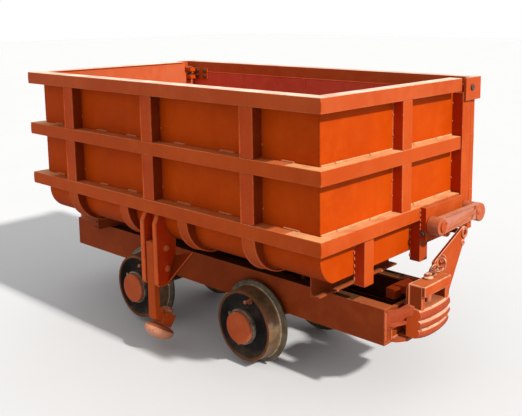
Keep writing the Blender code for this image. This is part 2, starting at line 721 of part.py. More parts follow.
# ------------------------------------------------------------------- assembly
def build_tub(tub):
    hang(tub, hopper_plate(), band("rim_band", RIM_TOP, 1.25), band("middle_band", MID_TOP, 1))
    hang(tub, lower_band())
    hang(tub, near_rib("side_rib_left", RIB_X[0], True))
    hang(tub, near_rib("side_rib_middle", RIB_X[1], False))
    hang(tub, near_rib("side_rib_right", RIB_X[2], True))
    for side in (-1, 1):
        x = side * KEEL_X
        name = f"floor_rib_{side_name(side)}"
        hang(tub, prism(name, keel_outline(), "x", x - KEEL_W / 2, x + KEEL_W / 2, BODY_PAINT))
        hang(tub, end_wall(side), end_rib(side), corner_post(side), hinge_pin(side))
        hang(tub, bearing_plate(side), dump_plate(side))
    hang(tub, roller_arm(), roller_axle())


def build_door(door):
    hang(door, door_panel(), door_top_beam())
    hang(door, door_rail("door_rail_middle", MID_TOP), door_rail("door_rail_lower", LOW_TOP))
    for side in (-1, 1):
        x = side * DOOR_RIB_X
        rib = door_rib(f"door_rib_{side_name(side)}", x - RIB_W / 2, x + RIB_W / 2)
        hang(door, door_stile(side), rib)


def build_frame(frame):
    hang(frame, sill("sill_near", -1), sill("sill_far", 1))
    for side in (-1, 1):
        hang(frame, bolster(side), end_frame(side), pivot_pin(side), coupler(side))
        x = side * WHEELBASE / 2
        hang(frame, axle(f"axle_{side_name(side)}", x), axle_cradle(f"axle_cradle_{side_name(side)}", x))


def build():
    frame = pivot_empty("frame_root", (0, 0, 0))
    tub = pivot_empty("tub_pivot", (0, *PIVOT), frame)
    door = pivot_empty("door_pivot", (0, *HINGE), tub)
    roller = pivot_empty("roller_pivot", (DUMP_X, *ROLLER_TOP), tub)
    build_frame(frame)
    build_tub(tub)
    build_door(door)
    hang(roller, dump_roller())
    for side in (-1, 1):
        label = side_name(side)
        hang(pivot_empty(f"latch_pivot_{label}", (0, *LATCH), tub), latch_arm(side))
        hang(pivot_empty(f"pin_slide_{label}", (side * PIN_X, 0, 0.3), frame), coupling_pin(side))
        eye = (side * CHAIN_EYE[0], CHAIN_EYE[1], CHAIN_EYE[2])
        hang(pivot_empty(f"chain_pivot_{label}", eye, frame), pin_chain(side))
        for row, near_far in (("near", -1), ("far", 1)):
            name = f"{label}_{row}"
            x = side * WHEELBASE / 2
            hub = pivot_empty(f"wheel_pivot_{name}", (x, near_far * WHEEL_OUT_Y, AXLE_Z), frame)
            hang(hub, wheel(f"wheel_{name}", x, near_far), hub_cap(f"hub_cap_{name}", x, near_far))


build()
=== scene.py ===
import json
import math
import random

import bmesh
import bpy
from mathutils import Matrix, Vector


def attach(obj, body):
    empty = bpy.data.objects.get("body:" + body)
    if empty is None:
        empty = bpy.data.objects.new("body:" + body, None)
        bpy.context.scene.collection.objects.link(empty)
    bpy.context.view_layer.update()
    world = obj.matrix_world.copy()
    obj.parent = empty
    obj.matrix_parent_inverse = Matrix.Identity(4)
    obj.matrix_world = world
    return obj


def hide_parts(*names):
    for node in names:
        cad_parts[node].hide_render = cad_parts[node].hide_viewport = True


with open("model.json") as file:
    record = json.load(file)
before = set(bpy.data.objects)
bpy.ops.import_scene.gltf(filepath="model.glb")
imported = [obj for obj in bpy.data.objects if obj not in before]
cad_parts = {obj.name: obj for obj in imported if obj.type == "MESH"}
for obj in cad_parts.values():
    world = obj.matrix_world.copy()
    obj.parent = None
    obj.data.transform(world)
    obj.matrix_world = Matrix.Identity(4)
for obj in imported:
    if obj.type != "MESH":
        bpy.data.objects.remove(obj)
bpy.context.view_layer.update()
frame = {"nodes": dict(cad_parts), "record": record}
record = frame["record"]
BODY_OF = {node: body for body, nodes in record["behaviour"]["bodies"].items() for node in nodes}
ENDS = (("left", -1), ("right", 1))
ROWS = (("near", -1), ("far", 1))
rng = random.Random(7)

# ---- dimensions, in the track's frame, in metres
TRACK_Y = -0.07368
WALL_X = 0.983
WALL_Y = 0.463
BAND_X = 1.04
BAND_Y = 0.526
BAND_H = 0.062
RIM_TOP = 1.332
MID_TOP = 1.054
LOW_TOP = 0.776
RIB_X = (-0.66, -0.015, 0.64)
RIB_W = 0.072
END_RIB_Y = (0.032, 0.104)
POST_Y = 0.539
BEND_Z = 0.68
BEND_R = 0.127
FLOOR_RIB_X = 0.219
FLOOR_RIB_HALF = 0.030
LEG_Y = 0.211
DUST_X = 0.85       # the bands' top faces are dusty beyond this
SILL_SHADE_X = 0.95       # the sills take painted shade inside this, where the tub shades them; beyond it they are open to the sky
FLOOR_Z = 0.5628
KEEL_Z = 0.5357
KEEL_END_Y = 0.55
DOOR_Y = 0.6185
DOOR_X = 1.035
STILE_X = 0.985
DOOR_RIB_X = 0.33
DOOR_SEAM_X = (-0.52, -0.02, 0.47)
UPRIGHT_Y = 0.661
RAIL_Y = 0.6575
WHEEL_X = 0.4
WHEEL_OUT_Y = 0.325
HUB_OUT_Y = 0.3606
HUB_R = 0.077
BOLT_R = 0.083
AXLE_Z = 0.2
PIVOT = (0.37, 0.638)
LATCH = (0.213, 0.692)
LATCH_HEAD = (0.57, 0.688)
DUMP_X = -0.033
ROLLER_TOP = (-0.4172, 0.199)
ROLLER_TILT = math.radians(57)
ROLLER_R = 0.0775
SILL_X = 1.118
BRACKET_X = 1.1545
END_PLATE_X = 1.1175
LATCH_X = 1.13
SILL_Y = 0.21
SILL_Z = (0.272, 0.432)
PIN_X = 1.195
PIN_R = 0.014
COUPLER_Y = 0.105
LIP_Y = 0.118
GAP = 0.0003        # between neighbouring nodes
SEAM = 0.001        # from an edge to the middle of its weld bead
SHEET = 0.0065      # from a wall's outer face to just inside its inner face
LINER_X = WALL_X - SHEET
PANELS = ((LOW_TOP, MID_TOP - BAND_H), (MID_TOP, RIM_TOP - BAND_H))
INSIDE = Vector((0, 0.1 + TRACK_Y, 0.95))

# ---- camera and light
CAMERA_AT = (2.8077, -2.747, 1.6478)
CAMERA_TURN = (41.28, 8.96, -0.41)      # azimuth, elevation and roll, in degrees
CAMERA_LENS = 52.24
CAMERA_SENSOR = 36
CAMERA_SHIFT = (-0.0693, -0.1473)
SUN_FROM = (1.0, 0.0, 0.75)
SUN_ENERGY = 5.7
SUN_WIDTH = math.radians(3)
SUN_COLOUR = (1.0, 0.975, 0.93)
FLOOR_SHADES = ((0.455, 0.46, 0.465), (0.475, 0.48, 0.485))


# ---- materials
class Shade:
    """One procedural material, built up on its Principled shader."""

    def __init__(self, name, metallic, specular=0.5):
        self.mat = bpy.data.materials.new(name)
        self.mat.use_nodes = True
        self.tree = self.mat.node_tree
        self.shader = self.tree.nodes["Principled BSDF"]
        self.shader.inputs["Metallic"].default_value = metallic
        self.shader.inputs["Specular IOR Level"].default_value = specular
        self.coord = self.tree.nodes.new("ShaderNodeTexCoord").outputs["Object"]
        self.normal = None

    def node(self, kind, inputs, **settings):
        """Adds a node; inputs maps each socket to a number, a colour or another node's output."""
        node = self.tree.nodes.new(f"ShaderNode{kind}")
        for name, value in settings.items():
            setattr(node, name, value)
        for socket, value in inputs.items():
            if isinstance(value, bpy.types.NodeSocket):
                self.tree.links.new(value, node.inputs[socket])
            else:
                node.inputs[socket].default_value = value
        return node

    def stretched(self, scale):
        return self.node("Mapping", {"Vector": self.coord, "Scale": scale}).outputs["Vector"]

    def noise(self, scale, detail=4.0, roughness=0.6, vector=None):
        inputs = {"Vector": vector or self.coord, "Scale": scale, "Detail": detail, "Roughness": roughness}
        return self.node("TexNoise", inputs).outputs["Fac"]

    def fit(self, value, low, high, to_low=0.0, to_high=1.0):
        inputs = {"Value": value, "From Min": low, "From Max": high, "To Min": to_low, "To Max": to_high}
        return self.node("MapRange", inputs).outputs["Result"]

    def times(self, a, b):
        return self.node("Math", {0: a, 1: b}, operation="MULTIPLY").outputs[0]

    def mix(self, factor, a, b):
        a, b = (c if isinstance(c, bpy.types.NodeSocket) else (*c, 1.0) for c in (a, b))
        return self.node("Mix", {0: factor, 6: a, 7: b}, data_type="RGBA").outputs[2]

    def facing_up(self, low=0.55, high=0.95):
        """1 where the surface looks up, 0 below the low slope."""
        normal = self.node("NewGeometry", {}).outputs["Normal"]
        return self.fit(self.node("SeparateXYZ", {0: normal}).outputs["Z"], low, high)

    def bump(self, value, distance, strength):
        """Adds a layer of relief on top of the layers before it."""
        inputs = {"Height": value, "Distance": distance, "Strength": strength}
        if self.normal:
            inputs["Normal"] = self.normal
        self.normal = self.node("Bump", inputs).outputs["Normal"]

    def done(self, colour, roughness):
        for name, value in (("Base Color", colour), ("Roughness", roughness), ("Normal", self.normal)):
            if value:
                self.tree.links.new(value, self.shader.inputs[name])
        return self.mat


def paint(name, main, dark, pale, rough=0.5, wear=0.0, dust=0.35, rust=0.3, wave=0.0, grain=0.3,
          powder=(0.56, 0.27, 0.11), shine=0.04, underside_shade=0.0):
    """Brushed primer on rolled plate: patches, runs, pits, dust on top faces, rust stains.

    wear above 0 also rubs the paint through to bare, rusty metal in patches; the last argument paints shade
    on the faces that look down.
    """
    s = Shade(name, 0.0, shine)
    patches = s.noise(1.7, 5.0, 0.55)
    mottle = s.noise(11.0, 8.0, 0.68)
    runs = s.noise(1.0, 5.0, 0.6, s.stretched((26.0, 26.0, 2.2)))
    pits = s.noise(230.0, 3.0, 0.5)
    smears = s.noise(5.5, 6.0, 0.72)
    colour = s.mix(s.fit(patches, 0.35, 0.66), main, dark)
    colour = s.mix(s.times(s.fit(mottle, 0.46, 0.74), 0.5), colour, pale)
    colour = s.mix(s.fit(runs, 0.5, 0.78, 0.0, 0.38), colour, dark)
    stain = tuple(0.35 * c + o for c, o in zip(dark, (0.012, 0.004, 0.001)))
    colour = s.mix(s.times(s.fit(smears, 0.57, 0.72), rust), colour, stain)
    colour = s.mix(s.fit(pits, 0.6, 0.74, 0.0, 0.3), colour, stain)
    if dust:
        cover = s.times(s.fit(s.noise(7.0, 7.0, 0.7), 0.28, 0.62, 0.35, 1.0), s.facing_up())
        colour = s.mix(s.times(cover, dust), colour, powder)
    # painted shade: faces that look down are darkened towards a deep version of the dark colour
    if underside_shade:
        colour = s.mix(s.times(s.facing_up(-0.1, -0.95), underside_shade), colour, tuple(0.45 * c for c in dark))
    rough_out = s.fit(mottle, 0.3, 0.75, rough - 0.09, rough + 0.16)
    if wear:
        rubbed = s.fit(s.noise(34.0, 7.0, 0.7), 0.6 - 0.22 * wear, 0.66 - 0.16 * wear)
        scuffed = tuple(0.55 * c + o for c, o in zip(pale, (0.12, 0.055, 0.03)))
        metal = s.mix(s.fit(s.noise(90.0, 3.0), 0.4, 0.6), (0.08, 0.03, 0.014), scuffed)
        colour = s.mix(s.times(rubbed, min(1.0, 0.45 + wear)), colour, metal)
    if wave:
        s.bump(s.noise(3.1, 2.0, 0.4), 0.03, wave)
    s.bump(mottle, 0.004, grain)
    s.bump(pits, 0.0012, grain)
    return s.done(colour, rough_out)


def metal(name, main, dark, bright, rough, metallic, polish=0.0):
    """Worn or cast metal: oxide patches, rubbed bright spots, fine pitting."""
    s = Shade(name, metallic)
    oxide = s.noise(9.0, 8.0, 0.7)
    rub = s.noise(24.0, 6.0, 0.65)
    pits = s.noise(260.0, 3.0, 0.55)
    colour = s.mix(s.fit(oxide, 0.38, 0.62), dark, main)
    bare = s.fit(rub, 0.5 - 0.2 * polish, 0.74 - 0.2 * polish, 0.0, 0.35 + 0.6 * polish)
    colour = s.mix(bare, colour, bright)
    colour = s.mix(s.fit(pits, 0.58, 0.7, 0.0, 0.5), colour, dark)
    powder = s.times(s.fit(s.noise(12.0, 6.0, 0.7), 0.35, 0.65), s.facing_up(0.4, 0.95))
    colour = s.mix(s.times(powder, 0.25), colour, (0.36, 0.22, 0.13))
    s.bump(oxide, 0.003, 0.35)
    s.bump(pits, 0.001, 0.35)
    return s.done(colour, s.fit(rub, 0.3, 0.75, rough + 0.12, rough - 0.14))


TUB = paint("tub_paint", (0.372, 0.042, 0.0012), (0.3, 0.031, 0.0008), (0.42, 0.06, 0.004), 0.52,
            wave=0.2, rust=0.22, shine=0.02, underside_shade=0.7)
TUB_EDGE = paint("tub_paint_edges", (0.37, 0.044, 0.004), (0.31, 0.033, 0.0025), (0.43, 0.07, 0.016),
                 wear=0.1, rust=0.2)
LINER = paint("liner_paint", (0.4, 0.085, 0.03), (0.34, 0.056, 0.016), (0.46, 0.13, 0.06), 0.48, wave=0.3,
              dust=0.3)
BAND = paint("band_paint", (0.352, 0.05, 0.006), (0.298, 0.038, 0.004), (0.405, 0.075, 0.015), wave=0.08,
             dust=0.25, rust=0.2, underside_shade=0.5)
DUSTY = paint("dusty_band", (0.36, 0.06, 0.012), (0.3, 0.044, 0.008), (0.41, 0.085, 0.023), 0.52,
              wave=0.1, dust=1.0, rust=0.2, powder=(0.6, 0.3, 0.13))
BAND_EDGE = paint("band_paint_edges", (0.4, 0.068, 0.015), (0.33, 0.048, 0.009), (0.52, 0.145, 0.06),
                  0.46, wear=0.25, dust=0.4, rust=0.2)
RIM = paint("rim_paint", (0.35, 0.056, 0.012), (0.298, 0.042, 0.008), (0.405, 0.082, 0.023), wave=0.08,
            dust=1.0, rust=0.2, powder=(0.66, 0.5, 0.38))
RIM_EDGE = paint("rim_paint_edges", (0.41, 0.082, 0.024), (0.33, 0.056, 0.015), (0.54, 0.19, 0.095), 0.46,
                 wear=0.25, dust=1.0, rust=0.2, powder=(0.68, 0.52, 0.4))
BEAM = paint("beam_paint", (0.35, 0.056, 0.012), (0.298, 0.042, 0.008), (0.405, 0.082, 0.023), wave=0.08,
             dust=1.0, powder=(0.56, 0.38, 0.28))
INNER = paint("inner_paint", (0.49, 0.064, 0.033), (0.4, 0.047, 0.025), (0.56, 0.095, 0.05), 0.6,
              dust=0.4, rust=0.35, wave=0.2)
RIB = paint("rib_paint", (0.36, 0.045, 0.008), (0.298, 0.034, 0.0055), (0.415, 0.07, 0.018), rust=0.2)
# painted shade: a near-black red for sides, edges and blocks that lie in shade
SHADE_PAINT = paint("painted_shade", (0.155, 0.017, 0.0018), (0.11, 0.011, 0.0012), (0.21, 0.033, 0.006), 0.6,
               rust=0.4, dust=0.0)
# painted shade: a deeper red for the sides of legs, posts, plates and end ribs that lie in shade
SIDE_SHADE = paint("painted_side_shade", (0.37, 0.022, 0.0015), (0.27, 0.015, 0.001), (0.42, 0.044, 0.007), 0.52)
FRAME = paint("frame_paint_finish", (0.235, 0.036, 0.006), (0.165, 0.023, 0.004), (0.3, 0.06, 0.016),
              0.58, rust=0.4, dust=0.2)
# painted shade: near black for the frame parts that lie in the tub's shadow
UNDER_TUB_SHADE = paint("frame_painted_shade", (0.03, 0.006, 0.0025), (0.015, 0.004, 0.002), (0.06, 0.013, 0.005), 0.85,
              dust=0.1, shine=0.0)
FRAME_EDGE = paint("frame_paint_edges", (0.28, 0.048, 0.012), (0.2, 0.03, 0.007), (0.38, 0.105, 0.04),
                   wear=0.3, dust=0.2)
CAST = paint("casting_paint", (0.275, 0.042, 0.012), (0.2, 0.026, 0.0065), (0.35, 0.08, 0.032), 0.52,
             grain=0.75, powder=(0.46, 0.22, 0.11), shine=0.08)
# worn casting edges, made paler as well to paint highlights on them
CAST_WEAR_AND_HIGHLIGHT = paint("casting_wear_and_highlight", (0.43, 0.12, 0.052), (0.32, 0.07, 0.026), (0.56, 0.25, 0.155),
                  0.42, wear=0.3, grain=0.6, dust=0.7, powder=(0.72, 0.48, 0.32), shine=0.14)
ARM = paint("arm_paint", (0.365, 0.15, 0.102), (0.29, 0.085, 0.048), (0.42, 0.225, 0.17), 0.42, rust=0.2,
            grain=0.8, dust=0.3, shine=0.1)
ARM_EDGE = paint("arm_paint_edges", (0.34, 0.078, 0.029), (0.27, 0.05, 0.017), (0.42, 0.145, 0.078),
                 wear=0.25, grain=0.6, dust=0.2, shine=0.08)
BRACKET = paint("bracket_paint", (0.345, 0.052, 0.007), (0.28, 0.037, 0.0045), (0.4, 0.082, 0.022), 0.48,
                rust=0.25, dust=0.2)
# painted light: a brighter orange that makes faces in shade look sunlit
PAINTED_LIGHT = paint("painted_light_orange", (0.52, 0.076, 0.012), (0.44, 0.056, 0.008), (0.58, 0.11, 0.03), 0.46,
             rust=0.2)
WELD = paint("weld_bead", (0.37, 0.09, 0.033), (0.31, 0.062, 0.022), (0.46, 0.17, 0.08), 0.48, dust=0.6,
             rust=0.15, grain=0.7, powder=(0.6, 0.33, 0.16), shine=0.08)
STRIP = paint("weld_strip", (0.43, 0.185, 0.08), (0.37, 0.135, 0.052), (0.5, 0.26, 0.135), dust=0.8,
              rust=0.15, grain=0.8, powder=(0.62, 0.33, 0.15), shine=0.08)
CAP = paint("cap_finish", (0.41, 0.078, 0.023), (0.31, 0.05, 0.014), (0.48, 0.12, 0.045), 0.54, dust=0.15)
CAP_EDGE = paint("cap_edges", (0.4, 0.085, 0.03), (0.3, 0.052, 0.018), (0.5, 0.17, 0.085), 0.46,
                 wear=0.35, dust=0.15)
ROLL = paint("roller_finish", (0.56, 0.205, 0.098), (0.38, 0.105, 0.048), (0.7, 0.39, 0.25), 0.42,
             wear=0.25, dust=0.3, powder=(0.6, 0.36, 0.22), shine=0.3)
RUST_HUB = paint("hub_finish", (0.195, 0.052, 0.016), (0.07, 0.03, 0.012), (0.29, 0.09, 0.035), 0.6,
                 rust=0.6, dust=0.2)
WHEEL = metal("wheel_casting", (0.17, 0.06, 0.018), (0.065, 0.03, 0.012), (0.3, 0.115, 0.04), 0.58, 0.1)
# near black: grease, darkened further as painted shade of the deep dish
DISH = metal("wheel_dish", (0.01, 0.0032, 0.002), (0.004, 0.0018, 0.0012), (0.045, 0.026, 0.011), 0.9,
             0.0)
TREAD = metal("wheel_tread", (0.16, 0.064, 0.024), (0.065, 0.045, 0.021), (0.24, 0.12, 0.056), 0.44, 0.15,
              polish=0.2)
FLANGE = metal("wheel_flange", (0.075, 0.048, 0.02), (0.034, 0.024, 0.011), (0.18, 0.125, 0.065), 0.45,
               0.3, polish=0.2)
# a rubbed bright band where tread meets flange, made bright as a painted highlight as well
LINE = metal("wheel_polish_and_highlight", (0.24, 0.17, 0.09), (0.11, 0.07, 0.035), (0.48, 0.39, 0.26), 0.38, 0.5,
             polish=0.4)
COLLAR = metal("hub_collar", (0.12, 0.095, 0.068), (0.035, 0.025, 0.016), (0.26, 0.225, 0.17), 0.46, 0.4,
               polish=0.4)
STEEL = metal("bare_steel_finish", (0.18, 0.08, 0.04), (0.08, 0.03, 0.014), (0.33, 0.2, 0.13), 0.48, 0.5,
              polish=0.3)
CHAIN = metal("chain_steel", (0.4, 0.115, 0.04), (0.23, 0.05, 0.015), (0.58, 0.33, 0.22), 0.42, 0.25,
              polish=0.4)
GREASE = metal("dark_grease", (0.045, 0.02, 0.012), (0.016, 0.009, 0.006), (0.1, 0.048, 0.026), 0.5, 0.1)


# ---- mesh helpers
def away(direction):
    """Two unit vectors at right angles to a direction and to each other."""
    w = Vector(direction).normalized()
    helper = Vector((0, 0, 1)) if abs(w.z) < 0.9 else Vector((1, 0, 0))
    u = helper.cross(w).normalized()
    return u, w.cross(u)


def circle(bm, centre, radius, u, v, sides, phase=0.0):
    """A ring of vertices in the plane of u and v."""
    angles = [phase + 2 * math.pi * i / sides for i in range(sides)]
    return [bm.verts.new(centre + radius * (math.cos(a) * u + math.sin(a) * v)) for a in angles]


def revolve(bm, profile, start, direction, sides=48, mats=0, phase=0.0):
    """Turns (radius, distance) points round an axis; a profile ending on the axis is capped there."""
    w = Vector(direction).normalized()
    u, v = away(w)
    rings = []
    for radius, along in profile:
        centre = Vector(start) + w * along
        rings.append(circle(bm, centre, radius, u, v, sides, phase) if radius else [bm.verts.new(centre)])
    pairs = list(zip(rings, rings[1:]))
    if len(rings[0]) > 1 and len(rings[-1]) > 1:
        pairs.append((rings[-1], rings[0]))
    for index, (first, second) in enumerate(pairs):
        mat = mats[index % len(mats)] if isinstance(mats, (list, tuple)) else mats
        for i in range(sides):
            j = (i + 1) % sides
            if len(first) == 1:
                corners = (first[0], second[i], second[j])
            elif len(second) == 1:
                corners = (first[i], second[0], first[j])
            else:
                corners = (first[i], second[i], second[j], first[j])
            bm.faces.new(corners).material_index = mat


def rod(radius, start, direction, length, sides=40, mat=0):
    """A cylinder in a mesh of its own, as a part or to cut a bore with."""
    bm = bmesh.new()
    revolve(bm, [(0, 0), (radius, 0), (radius, length), (0, length)], start, direction, sides, mat)
    return bm


def tube(bm, points, radii, sides=8, closed=False, mat=0):
    """A round bar along points; radii is one number or one per point."""
    points = [Vector(p) for p in points]
    count = len(points)
    radii = radii if isinstance(radii, list) else [radii] * count
    rings = []
    u = None
    for i, point in enumerate(points):
        before = points[i - 1] if i or closed else point
        after = points[(i + 1) % count] if i + 1 < count or closed else point
        w = (after - before).normalized()
        if u is None:
            u = away(w)[0]
        u = (u - w * u.dot(w)).normalized()
        v = w.cross(u)
        rings.append(circle(bm, point, radii[i], u, v, sides))
    pairs = list(zip(rings, rings[1:]))
    if closed:
        pairs.append((rings[-1], rings[0]))
    for first, second in pairs:
        for k in range(sides):
            j = (k + 1) % sides
            bm.faces.new((first[k], first[j], second[j], second[k])).material_index = mat
    if not closed:
        bm.faces.new(rings[0][::-1]).material_index = mat
        bm.faces.new(rings[-1]).material_index = mat


def bead(bm, start, end, radius=0.0042, mat=0):
    """A rippled weld bead, half sunk where it is laid along a corner."""
    start, end = Vector(start), Vector(end)
    count = max(6, int((end - start).length / 0.0028))
    points, radii = [], []
    for i in range(count + 1):
        jitter = Vector([rng.uniform(-0.0004, 0.0004) for _ in range(3)])
        points.append(start.lerp(end, i / count) + jitter)
        taper = min(1.0, 0.45 + 0.35 * min(i, count - i))
        radii.append(radius * taper * (0.84 + 0.16 * (i % 2)) * rng.uniform(0.92, 1.08))
    tube(bm, points, radii, 6, False, mat)


def stitches(bm, start, end, bead_length, pitch, radius=0.0042, mat=0):
    """Short weld beads in a row from start to end, each of a slightly different length."""
    start, end = Vector(start), Vector(end)
    length = (end - start).length
    count = max(1, int(length / pitch))
    way = (end - start) / length
    for i in range(count):
        middle = (i + 0.5) / count * length + rng.uniform(-0.1, 0.1) * pitch
        half = bead_length * rng.uniform(0.4, 0.6)
        low, high = max(0.002, middle - half), min(length - 0.002, middle + half)
        bead(bm, start + way * low, start + way * high, radius, mat)


def hexagon(bm, centre, direction, across=0.024, height=0.01, mat=0, washer=0.0, phase=0.0):
    """A chamfered six-sided bolt head or nut, with a washer under it when washer is its radius."""
    w = Vector(direction).normalized()
    base = Vector(centre)
    if washer:
        ring = [(0, -0.001), (washer, -0.001), (washer, 0.0022), (washer - 0.0008, 0.003), (0, 0.003)]
        revolve(bm, ring, base, w, 28, mat)
        base = base + w * 0.003
    r = across / math.sqrt(3)
    profile = [(0, -0.001), (r * 0.94, -0.001), (r, 0.0006), (r, height - 0.0014), (r * 0.84, height),
               (0, height)]
    revolve(bm, profile, base, w, 6, mat, phase)


def rivet(bm, centre, direction, radius=0.011, mat=0):
    dome = [(0, -0.002), (radius, -0.002), (radius, 0.0005)]
    dome += [(radius * math.cos(a), 0.0005 + radius * 0.62 * math.sin(a)) for a in (0.3, 0.6, 0.9, 1.2)]
    dome += [(0, 0.0005 + radius * 0.62)]
    revolve(bm, dome, centre, direction, 20, mat)


PLACE = {
    "x": lambda t, a, b: (t, a, b),
    "y": lambda t, a, b: (a, t, b),
    "z": lambda t, a, b: (a, b, t),
}


def line(axis, low, high, a, b, inset=0.0):
    """The ends of a line along an axis, inset from low and high, at a and b on the other two."""
    place = PLACE[axis]
    return place(low + inset, a, b), place(high - inset, a, b)


def skin(bm, rings, mat=0):
    """Makes the closed solid through rings of vertices, which all have the same number."""
    faces = [bm.faces.new(rings[0]), bm.faces.new(rings[-1])]
    for first, second in zip(rings, rings[1:]):
        for i in range(len(first)):
            j = (i + 1) % len(first)
            faces.append(bm.faces.new((first[i], first[j], second[j], second[i])))
    for face in faces:
        face.material_index = mat


def prism(bm, outline, axis, low, high, mat=0):
    """Extrudes a 2-D outline along an axis, in the order of the other two axes."""
    place = PLACE[axis]
    first = [bm.verts.new(place(low, a, b)) for a, b in outline]
    second = [bm.verts.new(place(high, a, b)) for a, b in outline]
    skin(bm, (first, second), mat)


def mirror(side, a, b):
    """The stretch from a to b on one side of the middle, lowest first."""
    return sorted((side * a, side * b))


def flip(side, outline):
    return [(side * a, b) for a, b in outline]


def box(bm, xs, ys, zs, mat=0):
    prism(bm, [(ys[0], zs[0]), (ys[1], zs[0]), (ys[1], zs[1]), (ys[0], zs[1])], "x", xs[0], xs[1], mat)


def soften(bm, width, segments=2, angle=32, mat=1):
    """Rounds the sharp edges; the rounding gets material slot mat."""
    limit = math.radians(angle)
    sharp = [e for e in bm.edges if len(e.link_faces) == 2 and e.calc_face_angle(0) > limit]
    if sharp:
        bmesh.ops.bevel(bm, geom=sharp, offset=width, segments=segments, profile=0.55, affect="EDGES",
                        clamp_overlap=True, material=mat)


def show(name, bm, materials, body, nodes=(), smooth=50, shift=True):
    """Makes the piece, in the track's frame unless shift is off, and puts it on its body."""
    bmesh.ops.recalc_face_normals(bm, faces=bm.faces)
    if shift:
        bmesh.ops.translate(bm, vec=(0, TRACK_Y, 0), verts=bm.verts)
    mesh = bpy.data.meshes.new(name)
    bm.to_mesh(mesh)
    bm.free()
    for mat in materials:
        mesh.materials.append(mat)
    mesh.shade_smooth()
    mesh.set_sharp_from_angle(angle=math.radians(smooth))
    piece = bpy.data.objects.new(name, mesh)
    bpy.context.scene.collection.objects.link(piece)
    normals = piece.modifiers.new("normals", "WEIGHTED_NORMAL")
    normals.keep_sharp = True
    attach(piece, body)
    if nodes:
        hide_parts(*nodes)


def finish(node, bm, materials, smooth=50, shift=True):
    """Shows the piece that stands for one CAD node, on that node's body, and hides the node."""
    show(f"{node}_finish", bm, materials, BODY_OF[node], (node,), smooth, shift)


def merge(bm, part):
    """Adds a finished part to bm and frees it."""
    mesh = bpy.data.meshes.new("part")
    part.to_mesh(mesh)
    part.free()
    bm.from_mesh(mesh)
    bpy.data.meshes.remove(mesh)


def cad_mesh(node):
    """A CAD node's mesh with its triangles merged back into flat faces, in the shared frame."""
    bm = bmesh.new()
    bm.from_mesh(frame["nodes"][node].data)
    bmesh.ops.remove_doubles(bm, verts=bm.verts, dist=2e-6)
    bmesh.ops.dissolve_limit(bm, angle_limit=math.radians(1.0), verts=bm.verts, edges=bm.edges)
    for face in bm.faces:
        face.material_index = 0
    return bm


def refine(node, materials, width=0.003, segments=2, split=None, choose=None):
    """A CAD node with rounded, worn edges.

    split cuts the faces at that distance either side of the middle; choose picks a face's slot.
    """
    bm = cad_mesh(node)
    if split:
        for x in (-split, split):
            everything = bm.verts[:] + bm.edges[:] + bm.faces[:]
            bmesh.ops.bisect_plane(bm, geom=everything, plane_co=(x, 0, 0), plane_no=(1, 0, 0))
    if choose:
        for face in bm.faces:
            face.material_index = choose(face, face.calc_center_median())
    soften(bm, width, segments)
    finish(node, bm, materials, shift=False)


def lining(face, centre):
    """Slot 2 for the faces of a sheet that look into the tub."""
    area = face.calc_area()
    inward = face.normal.dot(INSIDE - centre) > 0.2 and abs(face.normal.z) < 0.995
    return 2 if area > 0.02 and inward or area > 0.3 and face.normal.z > 0.9 else 0


def band_parts(face, centre):
    """Slot 3 for the dusty tops of the end runs, slot 2 for the cheeks of the legs, which take painted
    shade.
    """
    if face.normal.z > 0.9 and abs(centre.x) > DUST_X:
        return 3
    return 2 if abs(face.normal.y) > 0.9 and centre.z < 0.7 else 0


def cheeks(face, centre):
    """Slot 2 for the cheeks of an upright plate, which take painted shade."""
    return 2 if abs(face.normal.y) > 0.9 and centre.z > 0 else 0


def sill_parts(face, centre):
    """Slot 2, painted shade, for the inner side of a sill and for its top below the tub."""
    inner = abs(face.normal.y) > 0.9 and face.normal.y * (centre.y - TRACK_Y) < 0
    under = face.normal.z > 0.9 and (abs(centre.x) < SILL_SHADE_X or centre.z < 0.4)
    return 2 if inner or under else 0


# ---- tub sheets
for node in ("hopper_plate", "door_panel"):
    refine(node, (TUB, TUB_EDGE, INNER), 0.0016, choose=lining)
for node in ("door_rail_middle", "door_rail_lower"):
    refine(node, (BAND, BAND_EDGE), 0.0026, 3)
for node in ("middle_band", "lower_band"):
    refine(node, (BAND, BAND_EDGE, SIDE_SHADE, DUSTY), 0.0026, 3, DUST_X, band_parts)
refine("rim_band", (RIM, RIM_EDGE), 0.0026, 3)
refine("door_top_beam", (BEAM, RIM_EDGE), 0.0022)
for side_label, _ in ENDS:
    refine(f"end_wall_{side_label}", (TUB, TUB_EDGE, LINER), 0.0016, choose=lining)
    refine(f"corner_post_{side_label}", (BAND, BAND_EDGE, SIDE_SHADE), 0.003, 3, choose=cheeks)
    refine(f"bearing_plate_{side_label}", (BRACKET, BAND_EDGE, SIDE_SHADE), 0.003, 3, choose=cheeks)
    refine(f"bolster_{side_label}", (FRAME, FRAME_EDGE), 0.0026)
    # the axle cradles are painted shade all over
    refine(f"axle_cradle_{side_label}", (UNDER_TUB_SHADE, UNDER_TUB_SHADE), 0.004)
    refine(f"door_hinge_pin_{side_label}", (GREASE, STEEL), 0.001)
    # the pivot pin's end takes the painted shade of a dark bore
    refine(f"pivot_pin_{side_label}", (SHADE_PAINT, CAST_WEAR_AND_HIGHLIGHT), 0.001)
for node in ("sill_near", "sill_far"):
    refine(node, (FRAME, FRAME_EDGE, UNDER_TUB_SHADE), 0.0034, 3, SILL_SHADE_X, sill_parts)
refine("roller_arm", (BAND, BAND_EDGE), 0.003, 3)


# ---- ribs and posts
def arc(centre, radii, start, end, steps):
    """Points on an ellipse between two angles in degrees."""
    angles = [math.radians(start + (end - start) * i / steps) for i in range(steps + 1)]
    return [(centre[0] + radii[0] * math.cos(a), centre[1] + radii[1] * math.sin(a)) for a in angles]


